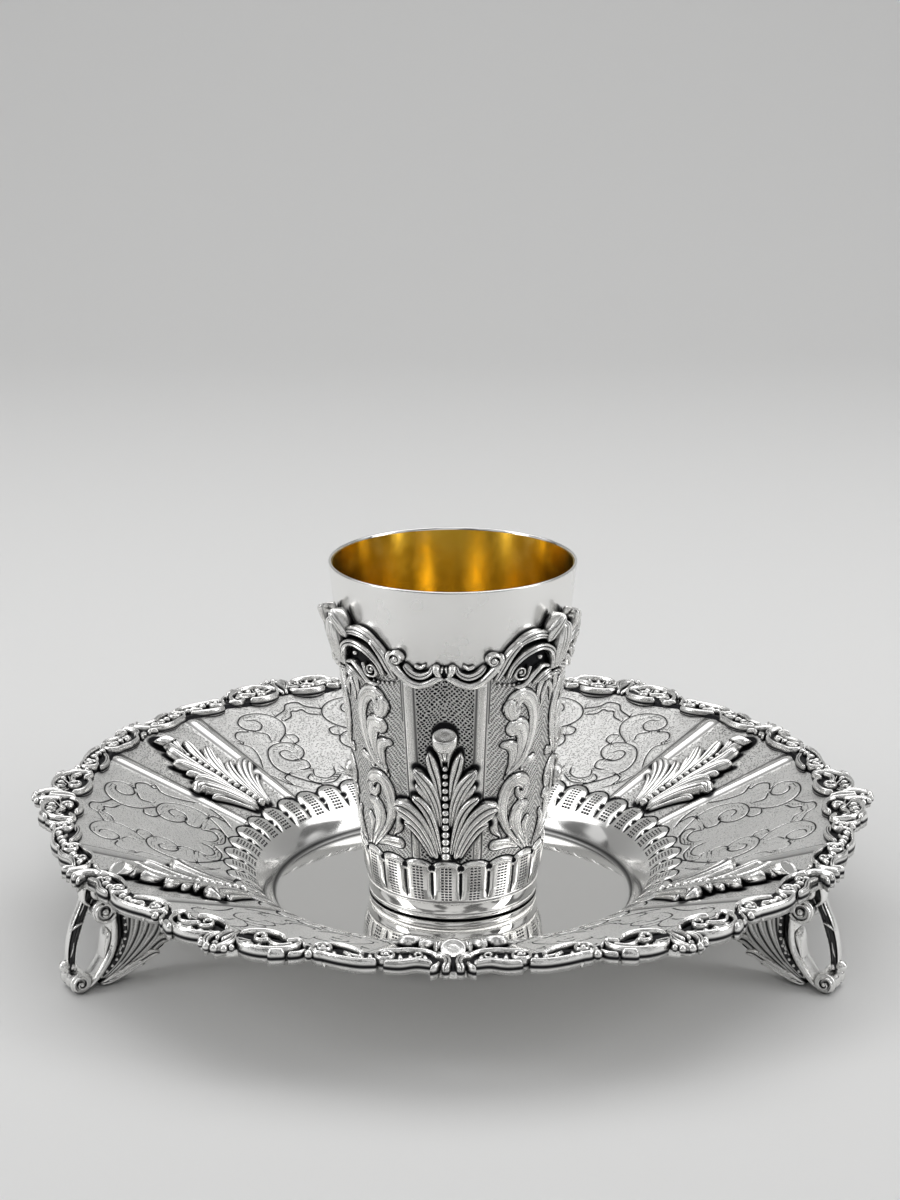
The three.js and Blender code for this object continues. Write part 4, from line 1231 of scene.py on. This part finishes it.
# The strokes of half a repeat: ridges, how far the back is sunk, and rows by mm round the
# band from the bow, height over the bottom of the cup, lift, width and height.
CUP_BORDER_STROKES = [
    (1, 1.6, [(0.7, 66.4, 0.6, 1.4, 1.4), (1.7, 68.0, 0.9, 1.9, 1.8), (2.0, 69.8, 1.1, 2.4, 1.9)]),
    (1, 1.4, [(0.4, 69.2, 0.8, 0.8, 1.4), (0.7, 67.6, 0.7, 0.9, 1.3)]),
    (1, 1.6, [(0.0, 66.2, 0.4, 1.4, 1.2), (1.8, 66.0, 0.5, 2.0, 1.4), (3.6, 64.9, 0.6, 2.2, 1.6),
              (6.0, 64.2, 0.6, 2.3, 1.8), (8.6, 65.1, 0.7, 2.3, 1.9), (10.8, 67.2, 0.9, 2.4, 2.0),
              (12.8, 69.8, 1.0, 2.0, 2.0), (13.6, 72.0, 1.0, 1.3, 1.7)]),
    (2, 1.2, [(2.8, 69.2, 0.4, 1.0, 1.3), (3.4, 67.6, 0.5, 1.6, 1.6), (5.6, 66.6, 0.6, 2.1, 1.7),
              (8.0, 67.4, 0.6, 1.9, 1.6), (9.8, 69.4, 0.5, 1.1, 1.4)]),
    (1, 1.2, [(4.4, 69.6, 0.3, 0.8, 1.2), (5.6, 68.6, 0.3, 1.1, 1.3), (7.2, 69.2, 0.3, 0.8, 1.2)]),
    (1, 1.6, volute(11.2, 70.7, 1.9, -80, 1.35, 1.2, 1.9, 1.0, [(12.9, 67.6), (12.0, 68.2)])),
    (2, 1.6, [(12.4, 64.6, 0.2, 1.4, 1.2), (13.8, 68.0, 0.5, 2.4, 1.8), (15.2, 71.2, 0.8, 2.4, 2.0),
              (17.2, 73.6, 0.9, 2.0, 1.9), (19.0, 74.4, 0.8, 1.4, 1.6)]),
    (3, 1.6, [(16.6, 73.4, 0.9, 1.6, 1.6), (19.6, 75.2, 1.2, 2.4, 1.8), (23.0, 75.6, 1.3, 2.6, 1.9),
              (26.4, 74.4, 1.2, 1.6, 1.6)]),
    (2, 1.6, [(15.4, 65.0, 0.3, 1.2, 1.5), (16.4, 68.6, 0.6, 1.8, 2.0), (19.4, 71.4, 0.9, 2.1, 2.3),
              (23.6, 72.4, 1.1, 2.2, 2.4), (27.2, 70.6, 1.1, 2.0, 2.3), (28.8, 67.4, 0.9, 1.7, 2.0),
              (28.4, 64.8, 0.7, 1.4, 1.7)]),
    (1, 1.4, [(27.8, 66.2, 0.5, 1.2, 1.8), (25.2, 66.8, 0.4, 1.4, 1.9), (22.6, 65.2, 0.4, 1.6, 1.9),
              (20.2, 62.9, 0.3, 1.6, 1.7), (17.6, 62.5, 0.3, 1.1, 1.4)]),
    (1, 1.3, volute(18.6, 66.4, 1.7, 250, -1.1, 0.95, 1.7, 0.4, [(21.4, 67.8), (20.2, 64.9)])),
    (2, 1.4, [(23.6, 62.2, 0.2, 1.2, 1.2), (25.6, 64.4, 0.5, 1.9, 1.8), (28.6, 65.4, 0.6, 1.4, 1.7)]),
    (2, 1.2, [(26.2, 62.2, 0.2, 1.1, 1.2), (28.0, 63.4, 0.4, 1.6, 1.5), (30.2, 63.6, 0.4, 1.4, 1.5)]),
    (2, 2.8, [(25.6, 72.6, 1.0, 1.6, 2.0), (26.2, 75.4, 2.0, 2.8, 2.4), (27.2, 78.2, 3.2, 2.4, 2.2),
              (28.0, 80.2, 3.8, 1.1, 1.4)]),
    (2, 2.4, [(29.8, 64.6, 0.5, 1.6, 1.8), (29.3, 68.6, 1.2, 2.3, 2.5), (29.2, 72.6, 1.9, 2.5, 2.7),
              (29.4, 76.0, 2.2, 1.8, 2.2), (30.3, 77.4, 2.2, 1.2, 1.8)]),
]


def cup_border_shapes():
    """Half a repeat from the bow to the crest: across is mm round the band, up the height."""
    shapes = [cast_stroke(rows, ridges, sink) for ridges, sink, rows in CUP_BORDER_STROKES]
    shapes += [
        cast_bead(11.2, 70.7, 2.2, 0.95, columns=14),
        cast_bead(18.6, 66.5, 1.2, 0.7, 1.2),
        cast_bead(25.0, 69.0, 0.5, 0.7, 1.2),
    ]
    for i in range(7):
        shapes.append(cast_bead(13.4 + 1.4 * i, 63.6 - 0.5 * math.sin(0.5 * i), 0.4, 0.5, columns=8,
                                rings=5))
    return mirrored(shapes)


def on_cup_band(turn):
    """Wraps a casting round the cup, keeping its mm along the band."""
    def place(x, y, height):
        angle = x / CUP_BAND_RADIUS + turn
        return turned_points(cup_radius(y) + np.maximum(height, 0.05), CUP_BOTTOM + y, angle)
    return place


# The outline of half a repeat: degrees from the bow, lower edge and upper edge.
CUP_BORDER_EDGES = [
    (0, 66.2, 69.4), (6, 66.4, 68.6), (11.7, 64.6, 67.6), (17, 66.6, 68.8), (23, 67.4, 71.2),
    (30, 67.0, 71.2), (38, 65.2, 71.8), (46, 63.6, 73.2), (52, 62.8, 73.8), (57, 64.0, 73.6),
]
CUP_BORDER_END = (60, 65.4, 73.4)


def cup_strip_section(angle, low, high):
    """The thin band that the cup's castings are soldered to."""
    corners = [(0.05, low), (0.35, low + 0.2), (0.45, low + 1.0), (0.45, high - 1.0), (0.35, high - 0.2),
               (0.05, high)]
    out, up = np.array(corners).T
    return turned_points(cup_radius(up) + out, CUP_BOTTOM + up, angle)


def make_cup_border():
    third = 2 * math.pi / CUP_PANELS
    places = [on_cup_band(CUP_TURN + third * i) for i in range(CUP_PANELS)]
    border = casting("cup_border_cast", cup_border_shapes(), places, cast_silver)
    strip, faces = border_strip(CUP_BORDER_EDGES, CUP_BORDER_END, CUP_PANELS,
                                lambda angle, *row: cup_strip_section(angle + CUP_TURN, *row))
    marks = {"groove": np.ones(len(strip)), "lift": np.zeros(len(strip))}
    base = make_piece("cup_border_back", strip, faces, marks, cast_silver, crease=40)
    return border, base


for piece in make_cup_border():
    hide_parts("cup_border")


# ======== the cup's leaves
# Three castings from the same mould as the plate's leaves, bent to the cup's wall and
# soldered on in the middle of each leaf panel, with the bud upward.

def on_cup(turn):
    """Bends a casting onto the wall of the cup, with its middle line upright."""
    def place(x, y, height):
        angle = x / cup_radius(y) + turn
        return turned_points(cup_radius(y) + height, CUP_BOTTOM + y, angle)
    return place


for i in range(CUP_PANELS):
    place = on_cup(CUP_TURN + i * 2 * math.pi / CUP_PANELS)
    piece = casting(f"cup_leaf_{i + 1}_cast", moved_along(leaf, LEAF_ON_CUP), [place], cast_silver)
    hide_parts(f"cup_leaf_{i + 1}")


# ======== table, light and camera
# A pale table that curves up into the wall behind it, soft light from large panels, and a
# camera standing in front and a little above.

def make_backdrop():
    turn = np.linspace(0, np.pi / 2, 24)
    depth = np.concatenate([[-1.6], 0.75 + 0.6 * np.sin(turn), [1.35]])
    height = np.concatenate([[0], 0.6 * (1 - np.cos(turn)), [2.4]])
    points = []
    for out, up in zip(depth, height):
        points += [(-2.4, out, up), (2.4, out, up)]
    faces = [(2 * i, 2 * i + 1, 2 * i + 3, 2 * i + 2) for i in range(len(depth) - 1)]
    mesh = bpy.data.meshes.new("backdrop")
    mesh.from_pydata(points, [], faces)
    mesh.polygons.foreach_set("use_smooth", [True] * len(mesh.polygons))
    paper = new_material("pale paper", [("Base Color", (0.76, 0.76, 0.755, 1)), ("Roughness", 0.7)])[0]
    mesh.materials.append(paper)
    backdrop = bpy.data.objects.new("backdrop", mesh)
    bpy.context.collection.objects.link(backdrop)


def make_lamp(name, place, aim, size, power):
    light = bpy.data.lights.new(name, "AREA")
    light.shape = "RECTANGLE"
    light.size, light.size_y = size
    light.energy = power
    lamp = bpy.data.objects.new(name, light)
    lamp.location = place
    direction = mathutils.Vector(aim) - lamp.location
    lamp.rotation_euler = direction.to_track_quat("-Z", "Y").to_euler()
    bpy.context.collection.objects.link(lamp)


def make_world():
    """A dim room: paler overhead, with soft pale and dark patches all round."""
    world = bpy.data.worlds.new("studio")
    world.use_nodes = True
    tree = world.node_tree
    background = tree.nodes["Background"]
    direction = add_node(tree, "ShaderNodeTexCoord").outputs["Generated"]
    parts = add_node(tree, "ShaderNodeSeparateXYZ", [("Vector", direction)])
    room = add_node(tree, "ShaderNodeTexNoise", [("Vector", direction), ("Scale", 2.6), ("Detail", 1.0)])
    patches = ramp(tree, room.outputs["Fac"], 0.44, 0.56, 0.06, 0.55)
    above = ramp(tree, parts.outputs["Z"], 0.1, 0.9, 0.0, 0.15)
    tree.links.new(sums(tree, "ADD", patches, above), background.inputs["Strength"])
    background.inputs["Color"].default_value = (1, 1, 1, 1)
    bpy.context.scene.world = world


make_backdrop()
make_world()
make_lamp("top panel", (0, 0.22, 0.75), (0, 0.22, 0), (1.5, 0.6), 3.9)
make_lamp("left panel", (-1.0, -0.35, 0.55), (0, 0, 0.05), (0.35, 0.8), 2.8)
make_lamp("right panel", (1.0, -0.25, 0.55), (0, 0, 0.05), (0.35, 0.8), 2.8)

bpy.context.scene.view_settings.view_transform = "Standard"

CAMERA_TILT = 16.3286
camera_data = bpy.data.cameras.new("camera")
camera_data.lens = 73.29
camera_data.sensor_width = 36
camera = bpy.data.objects.new("camera", camera_data)
camera.location = (-0.0007, -0.5867, 0.2536)
camera.rotation_euler = (math.radians(90 - CAMERA_TILT), 0, 0)
bpy.context.collection.objects.link(camera)
bpy.context.scene.camera = camera
